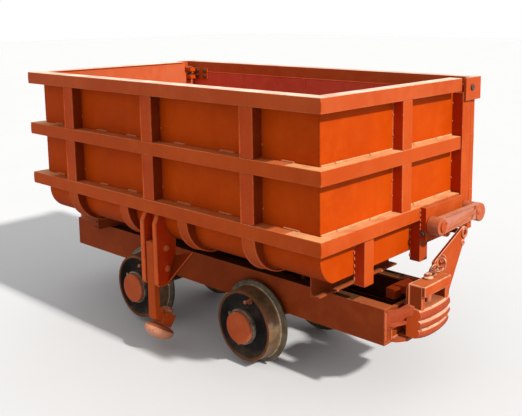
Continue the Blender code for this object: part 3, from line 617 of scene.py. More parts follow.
def keel(bm, xs):
    """The curved lower part of a rib, which hugs the bend and runs on under the floor."""
    top = LOW_TOP - BAND_H - GAP
    floor = FLOOR_Z - GAP
    bend_r = BEND_R + GAP
    last = 180 + math.degrees(math.asin((BEND_Z - floor) / bend_r))
    outline = [(-WALL_Y - GAP, top)] + arc((-0.33, top), (0.19, top - KEEL_Z), 180, 270, 24)
    outline += [(KEEL_END_Y, KEEL_Z), (KEEL_END_Y, floor)]
    outline += arc((BEND_R - WALL_Y, BEND_Z), (bend_r, bend_r), last, 180, 24)
    prism(bm, outline, "x", *xs)


def assign(bm, mat, test):
    """Puts the faces that pass the test into slot mat."""
    bm.normal_update()
    for face in bm.faces:
        if test(face):
            face.material_index = mat


def darken(bm, axis):
    """Puts the faces that look along an axis into slot 2, which holds a darker paint as painted shade on
    those sides.
    """
    assign(bm, 2, lambda face: abs(getattr(face.normal, axis)) > 0.95)


def between_bands(bm, xs, ys):
    """Two bars, one above the other, which fill the gaps between the three bands."""
    for low, high in PANELS[::-1]:
        box(bm, xs, ys, (low + GAP, high - GAP))


def side_rib(label, x):
    bm = bmesh.new()
    xs = (x - RIB_W / 2, x + RIB_W / 2)
    between_bands(bm, xs, (-0.522, -WALL_Y - GAP))
    if label != "middle":
        keel(bm, xs)
    assign(bm, 3, lambda face: face.calc_center_median().z < LOW_TOP - BAND_H)
    darken(bm, "x")
    soften(bm, 0.0042, 3)
    finish(f"side_rib_{label}", bm, (RIB, BAND_EDGE, SHADE_PAINT, BAND))


def floor_rib(label, side):
    bm = bmesh.new()
    keel(bm, (side * FLOOR_RIB_X - FLOOR_RIB_HALF, side * FLOOR_RIB_X + FLOOR_RIB_HALF))
    darken(bm, "x")
    soften(bm, 0.0042, 3)
    finish(f"floor_rib_{label}", bm, (BAND, BAND_EDGE, SHADE_PAINT))


def end_rib(label, side):
    bm = bmesh.new()
    between_bands(bm, mirror(side, WALL_X + GAP, BAND_X - 0.003), END_RIB_Y)
    darken(bm, "y")
    soften(bm, 0.0042, 3)
    finish(f"end_rib_{label}", bm, (BAND, BAND_EDGE, SIDE_SHADE))


def door_upright(label, side, kind, near, far):
    """A rib or an end stile of the door, in three pieces between the beam and the rails."""
    bm = bmesh.new()
    for top, low in ((RIM_TOP - BAND_H, MID_TOP), (MID_TOP - BAND_H, LOW_TOP), (LOW_TOP - BAND_H, 0.5747)):
        box(bm, mirror(side, near, far), (DOOR_Y + 0.0063, UPRIGHT_Y), (low + GAP, top - GAP))
    soften(bm, 0.004, 3)
    if kind == "stile":
        stud = [(0, 0), (0.012, 0), (0.012, 0.0465), (0.0105, 0.048), (0, 0.0485)]
        revolve(bm, stud, (side * (DOOR_X - 0.01), 0.644, 0.64), (side, 0, 0), 32, 1)
    finish(f"door_{kind}_{label}", bm, (BAND, BAND_EDGE))


def rail_caps():
    """Plates that close the open ends of the door's two rails."""
    bm = bmesh.new()
    for _, side in ENDS:
        for top in (MID_TOP, LOW_TOP):
            xs = mirror(side, DOOR_X - 0.004, DOOR_X)
            box(bm, xs, (DOOR_Y + 0.0078, RAIL_Y), (top - 0.056, top - 0.006))
    show("door_rail_caps", bm, (BAND,), "door")


# ---- welds
def span_list(low, high, blocked):
    """The free stretches between low and high outside the blocked (low, high) pairs."""
    spans, at = [], low
    for start, end in sorted(blocked):
        if start > at:
            spans.append((at, start))
        at = max(at, end)
    if high > at:
        spans.append((at, high))
    return spans


def end_welds(bm, side):
    """The beads on one end wall, its bands, legs and bearing plate."""
    wall = side * (WALL_X + 0.0012)
    runs = span_list(-WALL_Y, POST_Y, [END_RIB_Y])
    for top in (MID_TOP, LOW_TOP):
        for low, high in runs:
            bead(bm, *line("y", low, high, wall, top + SEAM, 0.004), 0.0062, 2)
            stitches(bm, *line("y", low, high, wall + side * 0.005, top, 0.03), 0.07, 0.17, 0.01, 2)
    for top in (RIM_TOP, MID_TOP):
        for low, high in runs:
            stitches(bm, *line("y", low, high, wall, top - BAND_H - SEAM, 0.01), 0.032, 0.13, 0.0036)
    for y in (END_RIB_Y[0] - SEAM, END_RIB_Y[1] + SEAM, POST_Y - SEAM):
        for low, high in PANELS:
            stitches(bm, *line("z", low, high, wall, y, 0.03), 0.01, 0.075, 0.0044)
    for y in (-LEG_Y, LEG_Y):
        for edge in (y - 0.0325, y + 0.0325):
            stitches(bm, *line("z", 0.53, 0.7, wall + side * 0.002, edge), 0.016, 0.028, 0.0046)
    mitre = (side * (BAND_X - 0.0015), -BAND_Y + 0.0015)
    for top in (RIM_TOP, MID_TOP, LOW_TOP):
        z = top - 0.012
        bead(bm, (*mitre, z), (*mitre, z - 0.04), 0.0026, 1)
    corner = (side * (WALL_X - SEAM), -WALL_Y + SEAM)
    for low, high in PANELS[::-1]:
        bead(bm, (*corner, low + 0.01), (*corner, high - 0.006), 0.0036, 1)
    stitches(bm, *line("z", 0.64, 0.772, side * (BAND_X + 0.0015), 0.1745), 0.014, 0.022)
    stitches(bm, *line("y", 0.185, 0.49, side * (BAND_X + 0.002), LOW_TOP + SEAM), 0.05, 0.09, 0.0038)


def tub_welds():
    bm = bmesh.new()
    half = RIB_W / 2
    wall = -WALL_Y - 0.0012
    runs = span_list(-WALL_X, WALL_X, [(x - half, x + half) for x in RIB_X])
    for top in (MID_TOP, LOW_TOP):
        for low, high in runs:
            stitches(bm, *line("x", low, high, wall, top + SEAM, 0.01), 0.085, 0.22, 0.0062)
    for top in (RIM_TOP, MID_TOP, LOW_TOP):
        for low, high in runs:
            stitches(bm, *line("x", low, high, wall, top - BAND_H - SEAM, 0.01), 0.035, 0.15, 0.0036)
    for x in RIB_X:
        for edge in (x - half - SEAM, x + half + SEAM):
            for low, high in PANELS:
                stitches(bm, (edge, wall, low + 0.012), (edge, wall, low + 0.5 * (high - low)), 0.01, 0.055)
    for _, side in ENDS:
        end_welds(bm, side)
    for x in (RIB_X[0], RIB_X[2], -FLOOR_RIB_X, FLOOR_RIB_X):
        width = half if x in RIB_X else FLOOR_RIB_HALF
        for edge in (x - width - SEAM, x + width + SEAM):
            stitches(bm, *line("y", -0.3, 0.52, edge, 0.5618), 0.035, 0.11)
    show("tub_welds", bm, (WELD, TUB, STRIP), "tub", smooth=70)


def door_welds():
    bm = bmesh.new()
    wall = DOOR_Y + 0.007
    half = RIB_W / 2
    ribs = [(x - half, x + half) for x in (-DOOR_RIB_X, DOOR_RIB_X)]
    stiles = (-STILE_X, STILE_X)
    for top in (MID_TOP, LOW_TOP):
        for low, high in span_list(*stiles, ribs):
            stitches(bm, *line("x", low, high, wall, top + SEAM, 0.01), 0.052, 0.115)
            stitches(bm, *line("x", low, high, wall, top - BAND_H - SEAM, 0.01), 0.035, 0.15)
    for x, outward in zip((*ribs[0], *ribs[1], *stiles), (-1, 1, -1, 1, 1, -1)):
        for low, high in ((0.58, LOW_TOP - BAND_H), *PANELS):
            stitches(bm, *line("z", low, high, x + outward * SEAM, wall, 0.012), 0.022, 0.052, 0.004)
    inner = DOOR_Y - GAP
    for x in DOOR_SEAM_X:
        bead(bm, (x, inner, 0.6), (x + 0.004, inner, RIM_TOP - BAND_H - 0.004), 0.0022, 1)
    bead(bm, *line("x", -0.96, 0.96, inner, RIM_TOP - BAND_H - SEAM), 0.0026, 1)
    show("door_welds", bm, (WELD, INNER), "door", smooth=70)


def inner_seams():
    """Weld seams in the tub's inner corners."""
    bm = bmesh.new()
    for _, side in ENDS:
        x = side * (LINER_X - GAP)
        bead(bm, *line("z", 0.69, RIM_TOP - 0.012, x, -WALL_Y + SHEET), 0.005)
        bead(bm, *line("y", -0.3, 0.58, x, 0.5698), 0.005)
    show("inner_seams", bm, (INNER,), "tub", smooth=70)


# ---- fittings on tub
def tub_fittings():
    """Bolt on the bearing plate's edge and the door's hinge lugs in the upper corners."""
    bm = bmesh.new()
    for _, side in ENDS:
        hexagon(bm, (side * 1.0555, 0.1755, 0.655), (0, -1, 0), 0.018, 0.008, 2, 0.014)
        lugs = bmesh.new()
        for z in (1.225, 1.272):
            box(lugs, mirror(side, LINER_X, WALL_X - 0.05), (0.548, 0.588), (z, z + 0.022))
        soften(lugs, 0.005, 3)
        merge(bm, lugs)
        merge(bm, rod(0.009, (side * (WALL_X - 0.03), 0.568, 1.219), (0, 0, 1), 0.082, 24, 2))
    show("tub_fittings", bm, (TUB, TUB_EDGE, GREASE), "tub", smooth=35)


def floor_lip():
    """Strip welded along the floor's edge, which closes the slit below the door."""
    bm = bmesh.new()
    box(bm, (-LINER_X, LINER_X), (0.596, DOOR_Y - 0.0008), (FLOOR_Z - 0.0012, FLOOR_Z + 0.0085))
    soften(bm, 0.0022, 3)
    show("floor_lip", bm, (LINER, LINER), "tub")


def door_fittings():
    """Hinge straps bolted inside the door's top corners."""
    bm = bmesh.new()
    for _, side in ENDS:
        box(bm, mirror(side, 0.845, 0.962), (DOOR_Y - 0.007, DOOR_Y - 0.0002), (1.222, 1.292))
    soften(bm, 0.002)
    for _, side in ENDS:
        for x in (0.868, 0.935):
            for z in (1.24, 1.274):
                hexagon(bm, (side * x, DOOR_Y - 0.007, z), (0, -1, 0), 0.018, 0.007, 2, 0.013, rng.random())
    show("hinge_straps", bm, (BAND, BAND_EDGE, GREASE), "door", smooth=35)


# ---- dump roller
ROLL_AXIS = Vector((0, -math.cos(ROLLER_TILT), -math.sin(ROLLER_TILT)))
ROLL_START = Vector((DUMP_X, *ROLLER_TOP))


def slanting_stay(bm, x):
    """Three-cornered plate from the bracket's lower end up to the floor, with its weld."""
    foot, upper, tip = Vector((x, -0.452, 0.35)), Vector((x, -0.405, 0.48)), Vector((0.187, -0.424, 0.536))
    depth = (tip - foot).cross(upper - foot).normalized() * 0.01
    stay = bmesh.new()
    first = [stay.verts.new(p) for p in (foot, upper, tip)]
    # slot 3 of the bracket is the painted shade, which keeps the stay dark as if in shadow
    skin(stay, (first, [stay.verts.new(v.co + depth) for v in first]), 3)
    soften(stay, 0.0022)
    merge(bm, stay)
    bead(bm, foot + depth, tip + depth, 0.003, 1)


def roller_bracket(label, side):
    """One cheek of the roller bracket, with its two rivets and, on one side, the slanting stay."""
    inner = DUMP_X + side * 0.033
    outer = inner + side * 0.028
    top = LOW_TOP - BAND_H - GAP
    bend_r = BEND_R + GAP
    back = 180 + math.degrees(math.acos((BEND_R - WALL_Y + 0.4) / bend_r))
    outline = [(-0.495, top), (-WALL_Y - GAP, top)]
    outline += arc((BEND_R - WALL_Y, BEND_Z), (bend_r, bend_r), 180, back, 16)
    outline += [(-0.405, 0.48), (-0.452, 0.35), (-0.51, 0.35), (-0.522, 0.362), (-0.522, 0.665)]
    bm = bmesh.new()
    prism(bm, outline, "x", inner, outer)
    # painted shade on the sides of the plate
    darken(bm, "x")
    bmesh.ops.recalc_face_normals(bm, faces=bm.faces)
    # painted light on the plate's faces that look outwards
    assign(bm, 4, lambda face: face.normal.y < -0.6)
    soften(bm, 0.0052, 3, 25)
    for y, z in ((-0.462, 0.535), (-0.458, 0.432)):
        rivet(bm, (outer, y, z), (side, 0, 0), 0.0165, 1)
    if side > 0:
        slanting_stay(bm, outer - 0.003)
    finish(f"roller_bracket_{label}", bm, (BRACKET, BAND_EDGE, SIDE_SHADE, SHADE_PAINT, PAINTED_LIGHT), 45)


def dump_roller():
    r = ROLLER_R - 0.0032
    bm = bmesh.new()
    profile = [(0, 0.1475)]
    for i in range(1, 12):
        a = math.radians(90 - 8.0 * i)
        profile.append((r * 0.985 * math.cos(a), 0.1115 + 0.036 * math.sin(a)))
    profile += [(r * 0.994, 0.108), (r, 0.103), (r, 0.1), (r - 0.0025, 0.095), (r - 0.008, 0.0895),
                (r - 0.02, 0.085), (0.042, 0.082), (0.04, 0.08), (0.0127, 0.08), (0.0127, 0.117), (0, 0.117)]
    mats = [0] * 14 + [1] * (len(profile) - 14)
    revolve(bm, profile, ROLL_START, ROLL_AXIS, 72, mats)
    finish("dump_roller", bm, (ROLL, CAST))


def roller_axle():
    """Threaded axle end with a slotted nut, a washer and a split pin."""
    bm = bmesh.new()
    profile = [(0, -0.0118), (0.0095, -0.0118), (0.0112, -0.0105)]
    for i in range(5):
        profile += [(0.012, -0.0098 + 0.0012 * i), (0.0112, -0.0092 + 0.0012 * i)]
    profile += [(0.012, -0.0035), (0.012, 0.115), (0, 0.115)]
    revolve(bm, profile, ROLL_START, ROLL_AXIS, 32)
    revolve(bm, [(0.0118, 0.0146), (0.032, 0.0146), (0.0326, 0.0152), (0.0326, 0.0166), (0.032, 0.0172),
                 (0.0118, 0.0172)], ROLL_START, ROLL_AXIS, 40)
    nut_r = 0.031
    nut = [(0.0118, 0.0), (nut_r * 0.9, 0.0), (nut_r, 0.0016), (nut_r, 0.0128), (nut_r * 0.9, 0.0145),
           (0.0118, 0.0145)]
    revolve(bm, nut, ROLL_START, ROLL_AXIS, 6)
    u, v = away(ROLL_AXIS)
    for i in range(6):
        a = math.pi / 6 + i * math.pi / 3
        way = math.cos(a) * u + math.sin(a) * v
        across = ROLL_AXIS.cross(way)
        centre = ROLL_START + way * 0.0205 - ROLL_AXIS * 0.003
        corners = [centre + sx * way * 0.005 + sy * across * 0.0062 + sz * ROLL_AXIS * 0.0034
                   for sx in (-1, 1) for sy in (-1, 1) for sz in (-1, 1)]
        bmesh.ops.convex_hull(bm, input=[bm.verts.new(c) for c in corners])
    tube(bm, [ROLL_START - ROLL_AXIS * 0.0045 + t * (u * 0.026) for t in (-1.0, -0.4, 0.3, 1.0)], 0.0018)
    finish("roller_axle", bm, (CAST_WEAR_AND_HIGHLIGHT,), 30)


# ---- wheels
def wheel(label, row, x, side):
    """A cast wheel with its flange on the inner side, a bolted collar and a grease plug."""
    start = (x, side * WHEEL_OUT_Y, AXLE_Z)
    face = [
        (0.0285, -0.017), (0.0725, -0.017), (0.0745, -0.015), (0.075, 0.002), (0.0735, 0.006),
        (0.0755, 0.034), (0.08, 0.046), (0.088, 0.052), (0.1, 0.0545), (0.118, 0.0535), (0.132, 0.049),
        (0.142, 0.041), (0.1478, 0.03), (0.151, 0.015), (0.1535, 0.003), (0.1555, 0.0006), (0.158, 0.0),
        (0.165, 0.0), (0.168, 0.0012), (0.1694, 0.004), (0.1722, 0.064), (0.1745, 0.0705),
        (0.179, 0.0745), (0.1905, 0.078), (0.1965, 0.0805), (0.1995, 0.084), (0.2, 0.0875),
        (0.1982, 0.0925), (0.1935, 0.0962), (0.165, 0.0965), (0.16, 0.094), (0.156, 0.076),
        (0.15, 0.07), (0.124, 0.072), (0.098, 0.079), (0.075, 0.083), (0.064, 0.086), (0.0605, 0.091),
        (0.0595, 0.0935), (0.0285, 0.0935),
    ]
    # slot 7 is the polished line at the flange root, which also paints its highlight
    mats = [3] * 4 + [1] * 11 + [3] * 3 + [2] * 3 + [7] + [4] * 7 + [0] * 10
    bm = bmesh.new()
    revolve(bm, face, start, (0, -side, 0), 112, mats)
    collar = [
        (0.028, -0.017), (0.079, -0.017), (0.084, -0.015), (0.086, -0.0105), (0.086, -0.002),
        (0.0835, 0.003), (0.077, 0.005), (0.028, 0.005),
    ]
    revolve(bm, collar, start, (0, -side, 0), 96, 5)
    turn = 0.35 + rng.uniform(-0.2, 0.2)
    for i in range(3):
        a = turn + i * 2 * math.pi / 3
        at = (x + BOLT_R * math.cos(a), side * (WHEEL_OUT_Y + 0.0145), AXLE_Z + BOLT_R * math.sin(a))
        hexagon(bm, at, (0, side, 0), 0.017, 0.0085, 5, 0.0, a)
    plug_at = Vector((x + 0.004, side * (WHEEL_OUT_Y - 0.05), AXLE_Z + 0.106))
    plug = [(0, -0.002), (0.013, -0.002), (0.013, 0.008), (0.0085, 0.01), (0.008, 0.024), (0.006, 0.028),
            (0.006, 0.032), (0.009, 0.035), (0.009, 0.04), (0.005, 0.044), (0, 0.045)]
    revolve(bm, plug, plug_at, (0, side, 0.15), 20, 6)
    finish(f"wheel_{label}_{row}", bm, (WHEEL, DISH, TREAD, RUST_HUB, FLANGE, COLLAR, CAST_WEAR_AND_HIGHLIGHT, LINE), 40)


def hub_cap(label, row, x, side):
    r = HUB_R
    bm = bmesh.new()
    profile = [
        (0, 0.0006), (0.02, 0.0009), (0.045, 0.0004), (r - 0.0085, 0.0), (r - 0.004, 0.001),
        (r - 0.0012, 0.0032), (r, 0.0068), (r, 0.0183), (0, 0.0183),
    ]
    revolve(bm, profile, (x, side * HUB_OUT_Y, AXLE_Z), (0, -side, 0), 96, [0, 0, 0, 1, 1, 1, 1, 0])
    finish(f"hub_cap_{label}_{row}", bm, (CAP, CAP_EDGE), 32)


def axle(label, x):
    bm = bmesh.new()
    half, journal = 0.338, 0.228
    profile = [(0, -half), (0.0255, -half), (0.0275, -half + 0.002), (0.0275, -journal - 0.001),
               (0.0335, -journal), (0.034, -journal + 0.001)]
    profile += [(r, -t) for r, t in profile[::-1]]
    revolve(bm, profile, (x, 0, AXLE_Z), (0, 1, 0))
    finish(f"axle_{label}", bm, (GREASE,))


# ---- couplers
def cut_with(bm, tools, name):
    """Cuts each tool's bmesh out of bm with exact Booleans and returns the result."""
    objects = []
    for index, part in enumerate([bm] + tools):
        bmesh.ops.recalc_face_normals(part, faces=part.faces)
        mesh = bpy.data.meshes.new(f"{name}_{index}")
        part.to_mesh(mesh)
        part.free()
        obj = bpy.data.objects.new(f"{name}_{index}", mesh)
        bpy.context.scene.collection.objects.link(obj)
        objects.append(obj)
    for tool in objects[1:]:
        boolean = objects[0].modifiers.new(tool.name, "BOOLEAN")
        boolean.object = tool
        boolean.operation = "DIFFERENCE"
        boolean.solver = "EXACT"
    bpy.context.view_layer.update()
    evaluated = objects[0].evaluated_get(bpy.context.evaluated_depsgraph_get())
    result = bmesh.new()
    result.from_mesh(evaluated.to_mesh())
    evaluated.to_mesh_clear()
    for obj in objects:
        bpy.data.objects.remove(obj)
    bmesh.ops.remove_doubles(result, verts=result.verts, dist=1e-6)
    bmesh.ops.dissolve_degenerate(result, edges=result.edges, dist=1e-6)
    return result


def coupler_lips(label, side):
    """The ridged lower part of the cast bumper, crowned from side to side."""
    lips = [
        (1.162, 0.29), (1.212, 0.29), (1.23, 0.296), (1.239, 0.306), (1.243, 0.32), (1.239, 0.33),
        (1.227, 0.336), (1.227, 0.3385), (1.241, 0.344), (1.248, 0.352), (1.25, 0.362), (1.247, 0.371),
        (1.233, 0.3765), (1.233, 0.379), (1.244, 0.385), (1.249, 0.395), (1.249, 0.408), (1.244, 0.419),
        (1.234, 0.426), (1.215, 0.428), (1.162, 0.428),
    ]
    slices = 30
    bm = bmesh.new()
    rings = []
    for j in range(slices + 1):
        y = -LIP_Y + 2 * LIP_Y * j / slices
        crown = (abs(y) / LIP_Y) ** 2.4
        ring = []
        for x, z in lips:
            reach = max(0.0, min(1.0, (x - 1.165) / 0.08))
            lift = 0.01 * crown * (0.43 - z) / 0.14
            ring.append(bm.verts.new((side * (x - 0.014 * crown * reach), y, z + lift)))
        rings.append(ring)
    skin(bm, rings)
    bm = cut_with(bm, [rod(PIN_R + 0.001, (side * PIN_X, 0, 0.2), (0, 0, 1), 0.4)], f"lips_{label}")
    bmesh.ops.recalc_face_normals(bm, faces=bm.faces)
    # painted light: the ends, which face away from the sun, take the brighter orange
    end_y = LIP_Y - 0.002
    assign(bm, 2, lambda face: abs(face.normal.y) > 0.9 and abs(face.calc_center_median().y) > end_y)
    # painted highlight: the ridge tops take the pale edge paint as stripes of light
    assign(bm, 1, lambda face: face.normal.z > 0.72 and abs(face.calc_center_median().x) > 1.226)
    soften(bm, 0.002, 2, 40)
    nodes = (f"coupler_{label}",)
    show(f"coupler_lips_{label}", bm, (CAST, CAST_WEAR_AND_HIGHLIGHT, PAINTED_LIGHT), "frame", nodes, 55)


def coupler_jaw(label, side):
    """The upper part of the bumper, a bridge over the mouth on two cheeks."""
    bm = bmesh.new()
    jaw = [(1.172, 0.482), (1.245, 0.482), (1.245, 0.527), (1.166, 0.527), (1.15, 0.505), (1.15, 0.42),
           (1.172, 0.42)]
    prism(bm, flip(side, jaw), "y", -COUPLER_Y, COUPLER_Y)
    bm = cut_with(bm, [rod(PIN_R + 0.001, (side * PIN_X, 0, 0.3), (0, 0, 1), 0.4)], f"jaw_{label}")
    for row in (-1, 1):
        box(bm, mirror(side, 1.168, 1.231), mirror(row, COUPLER_Y + 0.001, 0.083), (0.412, 0.5255))
    # the cheeks take the darker frame paint as painted shade
    darken(bm, "y")
    soften(bm, 0.0045, 3)
    show(f"coupler_jaw_{label}", bm, (BRACKET, CAST_WEAR_AND_HIGHLIGHT, FRAME), "frame")


def coupler_base(label, side):
    """The hollow base with its flared wings, its shelf and foot, and the neck and tail behind the jaw."""
    back = SILL_X + GAP
    bm = bmesh.new()
    wing = [(back, 0.336), (back, 0.4215), (1.138, 0.4215), (1.165, 0.44), (1.196, 0.436), (1.204, 0.418),
            (1.196, 0.4), (1.165, 0.385), (1.14, 0.345)]
    for row, flare, inner in ((-1, -0.195, -0.1225), (1, 0.113, 0.098)):
        ys = [flare + (inner - flare) * min(1, (x - back) / 0.046) for x, _ in wing]
        first = [bm.verts.new((side * x, y, z)) for (x, z), y in zip(wing, ys)]
        skin(bm, (first, [bm.verts.new((v.co.x, v.co.y - row * 0.016, v.co.z)) for v in first]))
        box(bm, mirror(side, back, 1.16), mirror(row, 0.113, 0.094), (0.276, 0.3))
    shelf = [(back, -0.192), (1.14, -0.178), (1.168, -0.114), (1.168, 0.114), (back, 0.114)]
    prism(bm, flip(side, shelf), "z", 0.352, 0.366)
    foot = [(back, -0.16), (1.14, -0.152), (1.168, -0.112), (1.168, 0.112), (back, 0.112)]
    prism(bm, flip(side, foot), "z", 0.276, 0.2895)
    box(bm, mirror(side, back, 1.168), (-0.07, 0.07), (0.288, 0.4205))
    # the neck and the tail block take the painted shade, slot 2, to hide their lit tops
    neck = [(1.06, 0.446), (1.156, 0.462), (1.156, 0.49), (1.06, 0.484)]
    prism(bm, flip(side, neck), "y", -0.055, 0.055, 2)
    box(bm, mirror(side, 1.048, 1.092), (-0.1, 0.02), (0.436, 0.48), 2)
    soften(bm, 0.0035, 3, 40)
    show(f"coupler_base_{label}", bm, (CAST, CAST_WEAR_AND_HIGHLIGHT, SHADE_PAINT), "frame")


def coupling_pin(label, side):
    r = PIN_R
    bm = bmesh.new()
    profile = [
        (0, 0), (r - 0.0045, 0), (r - 0.001, 0.005), (r, 0.009), (r, 0.2155), (0.0205, 0.2155),
        (0.022, 0.2168), (0.022, 0.22), (0.0205, 0.2215), (0.0125, 0.2245), (0.011, 0.2265),
        (0.011, 0.23), (0.0135, 0.2325), (0.015, 0.2345), (0.014, 0.237), (0.009, 0.2386), (0, 0.239),
    ]
    revolve(bm, profile, (side * PIN_X, 0, 0.3122), (0, 0, 1), 40)
    finish(f"coupling_pin_{label}", bm, (CAST_WEAR_AND_HIGHLIGHT,))


def ring_path(centre, along, across, length, width, steps=7):
    """A stadium-shaped closed path, length and width between centre lines."""
    r = width / 2
    half = length / 2 - r
    points = []
    for end in (1, -1):
        for i in range(steps + 1):
            a = -math.pi / 2 + math.pi * i / steps
            points.append(centre + end * along * (half + r * math.cos(a)) + end * across * (r * math.sin(a)))
    return points


def pin_chain(label, side):
    """Welded links from the bracket's eye to the pin's neck."""
    links = [
        ((1.169, 0.147, 0.544), (0.05, -0.25, -0.97), (0.88, 0.45, -0.07), 0.058),
        ((1.172, 0.113, 0.5325), (0.05, -1.0, -0.05), (1.0, 0.05, 0.0), 0.06),
        ((1.176, 0.073, 0.547), (0.12, -0.93, 0.3), (0.35, 0.32, 0.88), 0.062),
        ((1.186, 0.029, 0.5335), (0.15, -1.0, 0.0), (1.0, 0.15, 0.0), 0.06),
    ]
    bm = bmesh.new()
    for centre, along, across, length in links:
        along = Vector((side * along[0], along[1], along[2])).normalized()
        across = Vector((side * across[0], across[1], across[2]))
        across = (across - across.dot(along) * along).normalized()
        ring = ring_path(Vector((side * centre[0], centre[1], centre[2])), along, across, length, 0.038)
        tube(bm, ring, 0.0048, 12, True)
    finish(f"pin_chain_{label}", bm, (CHAIN,))


def frame_fittings():
    bm = bmesh.new()
    for _, side in ENDS:
        centre, along = Vector((side * 1.163, 0.17, 0.56)), Vector((0, 0.35, 1)).normalized()
        tube(bm, ring_path(centre, along, Vector((1, 0, 0)), 0.036, 0.024), 0.0045, 12, True)
        for x in (0.345, 0.455):
            for row in (-1, 1):
                hexagon(bm, (side * x, row * 0.175, 0.283), (0, 0, 1), washer=0.018, phase=rng.random())
    show("frame_fittings", bm, (CAST_WEAR_AND_HIGHLIGHT,), "frame", smooth=35)


def end_plate(label, side):
    """Plate between the sills, with the pad that the pivot bracket stands on."""
    inner_y = SILL_Y - 0.008 - GAP
    bm = bmesh.new()
    box(bm, mirror(side, 1.098, END_PLATE_X), (-inner_y, inner_y), (SILL_Z[0] + 0.0105, SILL_Z[1] - 0.0105))
    box(bm, mirror(side, 1.11, 1.142), (0.116, inner_y - 0.001), (0.3, SILL_Z[1] - 0.012))
    soften(bm, 0.003, 3)
    show(f"end_plate_{label}", bm, (FRAME, FRAME_EDGE), "frame", (f"end_frame_{label}",))


def pivot_bracket(label, side):
    """Leaning bracket for the tub's pivot, with its pierced knuckle and small boss."""
    bm = bmesh.new()
    outline = [(0.116, 0.3), (0.235, 0.3), (0.252, 0.396)]
    outline += arc(PIVOT, (0.028, 0.028), -35, 115, 16) + [(0.116, 0.559)]
    prism(bm, outline, "x", side * 1.1385, side * BRACKET_X)
    bm = cut_with(bm, [rod(0.0126, (side * 1.1, *PIVOT), (side, 0, 0), 0.1)], f"bracket_{label}")
    bmesh.ops.recalc_face_normals(bm, faces=bm.faces)
    # painted shade on the plate's edges that look up
    assign(bm, 2, lambda face: face.normal.z > 0.2 and abs(face.normal.x) < 0.5 and face.calc_area() > 5e-4)
    soften(bm, 0.0028)
    boss = [(0.013, -0.002), (0.0265, -0.002), (0.0265, 0.0045), (0.0245, 0.007), (0.015, 0.007),
            (0.013, 0.005)]
    revolve(bm, boss, (side * BRACKET_X, *PIVOT), (side, 0, 0), mats=1)
    small = [(0, -0.002), (0.015, -0.002), (0.015, 0.002), (0.012, 0.006), (0.006, 0.0065), (0.005, 0.003),
             (0, 0.003)]
    revolve(bm, small, (side * BRACKET_X, PIVOT[0] - 0.012, PIVOT[1] - 0.047), (side, 0, 0), 32, 1)
    show(f"pivot_bracket_{label}", bm, (BRACKET, CAST_WEAR_AND_HIGHLIGHT, SHADE_PAINT), "frame", smooth=45)


def frame_welds():
    bm = bmesh.new()
    for _, side in ENDS:
        for x in (0.787, 0.84):
            for low, high in ((-0.2, -0.155), (0.155, 0.2)):
                stitches(bm, *line("y", low, high, side * x, SILL_Z[1] + 0.0005), 0.035, 0.04)
        for y in (-0.162, 0.1165):
            bead(bm, *line("z", 0.284, 0.41, side * (SILL_X + 0.0005), y), 0.005)
        bead(bm, *line("y", -0.155, 0.11, side * (SILL_X + SEAM), 0.2905), 0.0055)
        bead(bm, *line("y", 0.12, 0.196, side * BRACKET_X, 0.415), 0.0045)
        for y in (-0.2025, 0.2025):
            bead(bm, *line("z", 0.29, 0.415, side * END_PLATE_X, y), 0.0045)
    show("frame_welds", bm, (WELD,), "frame", smooth=70)


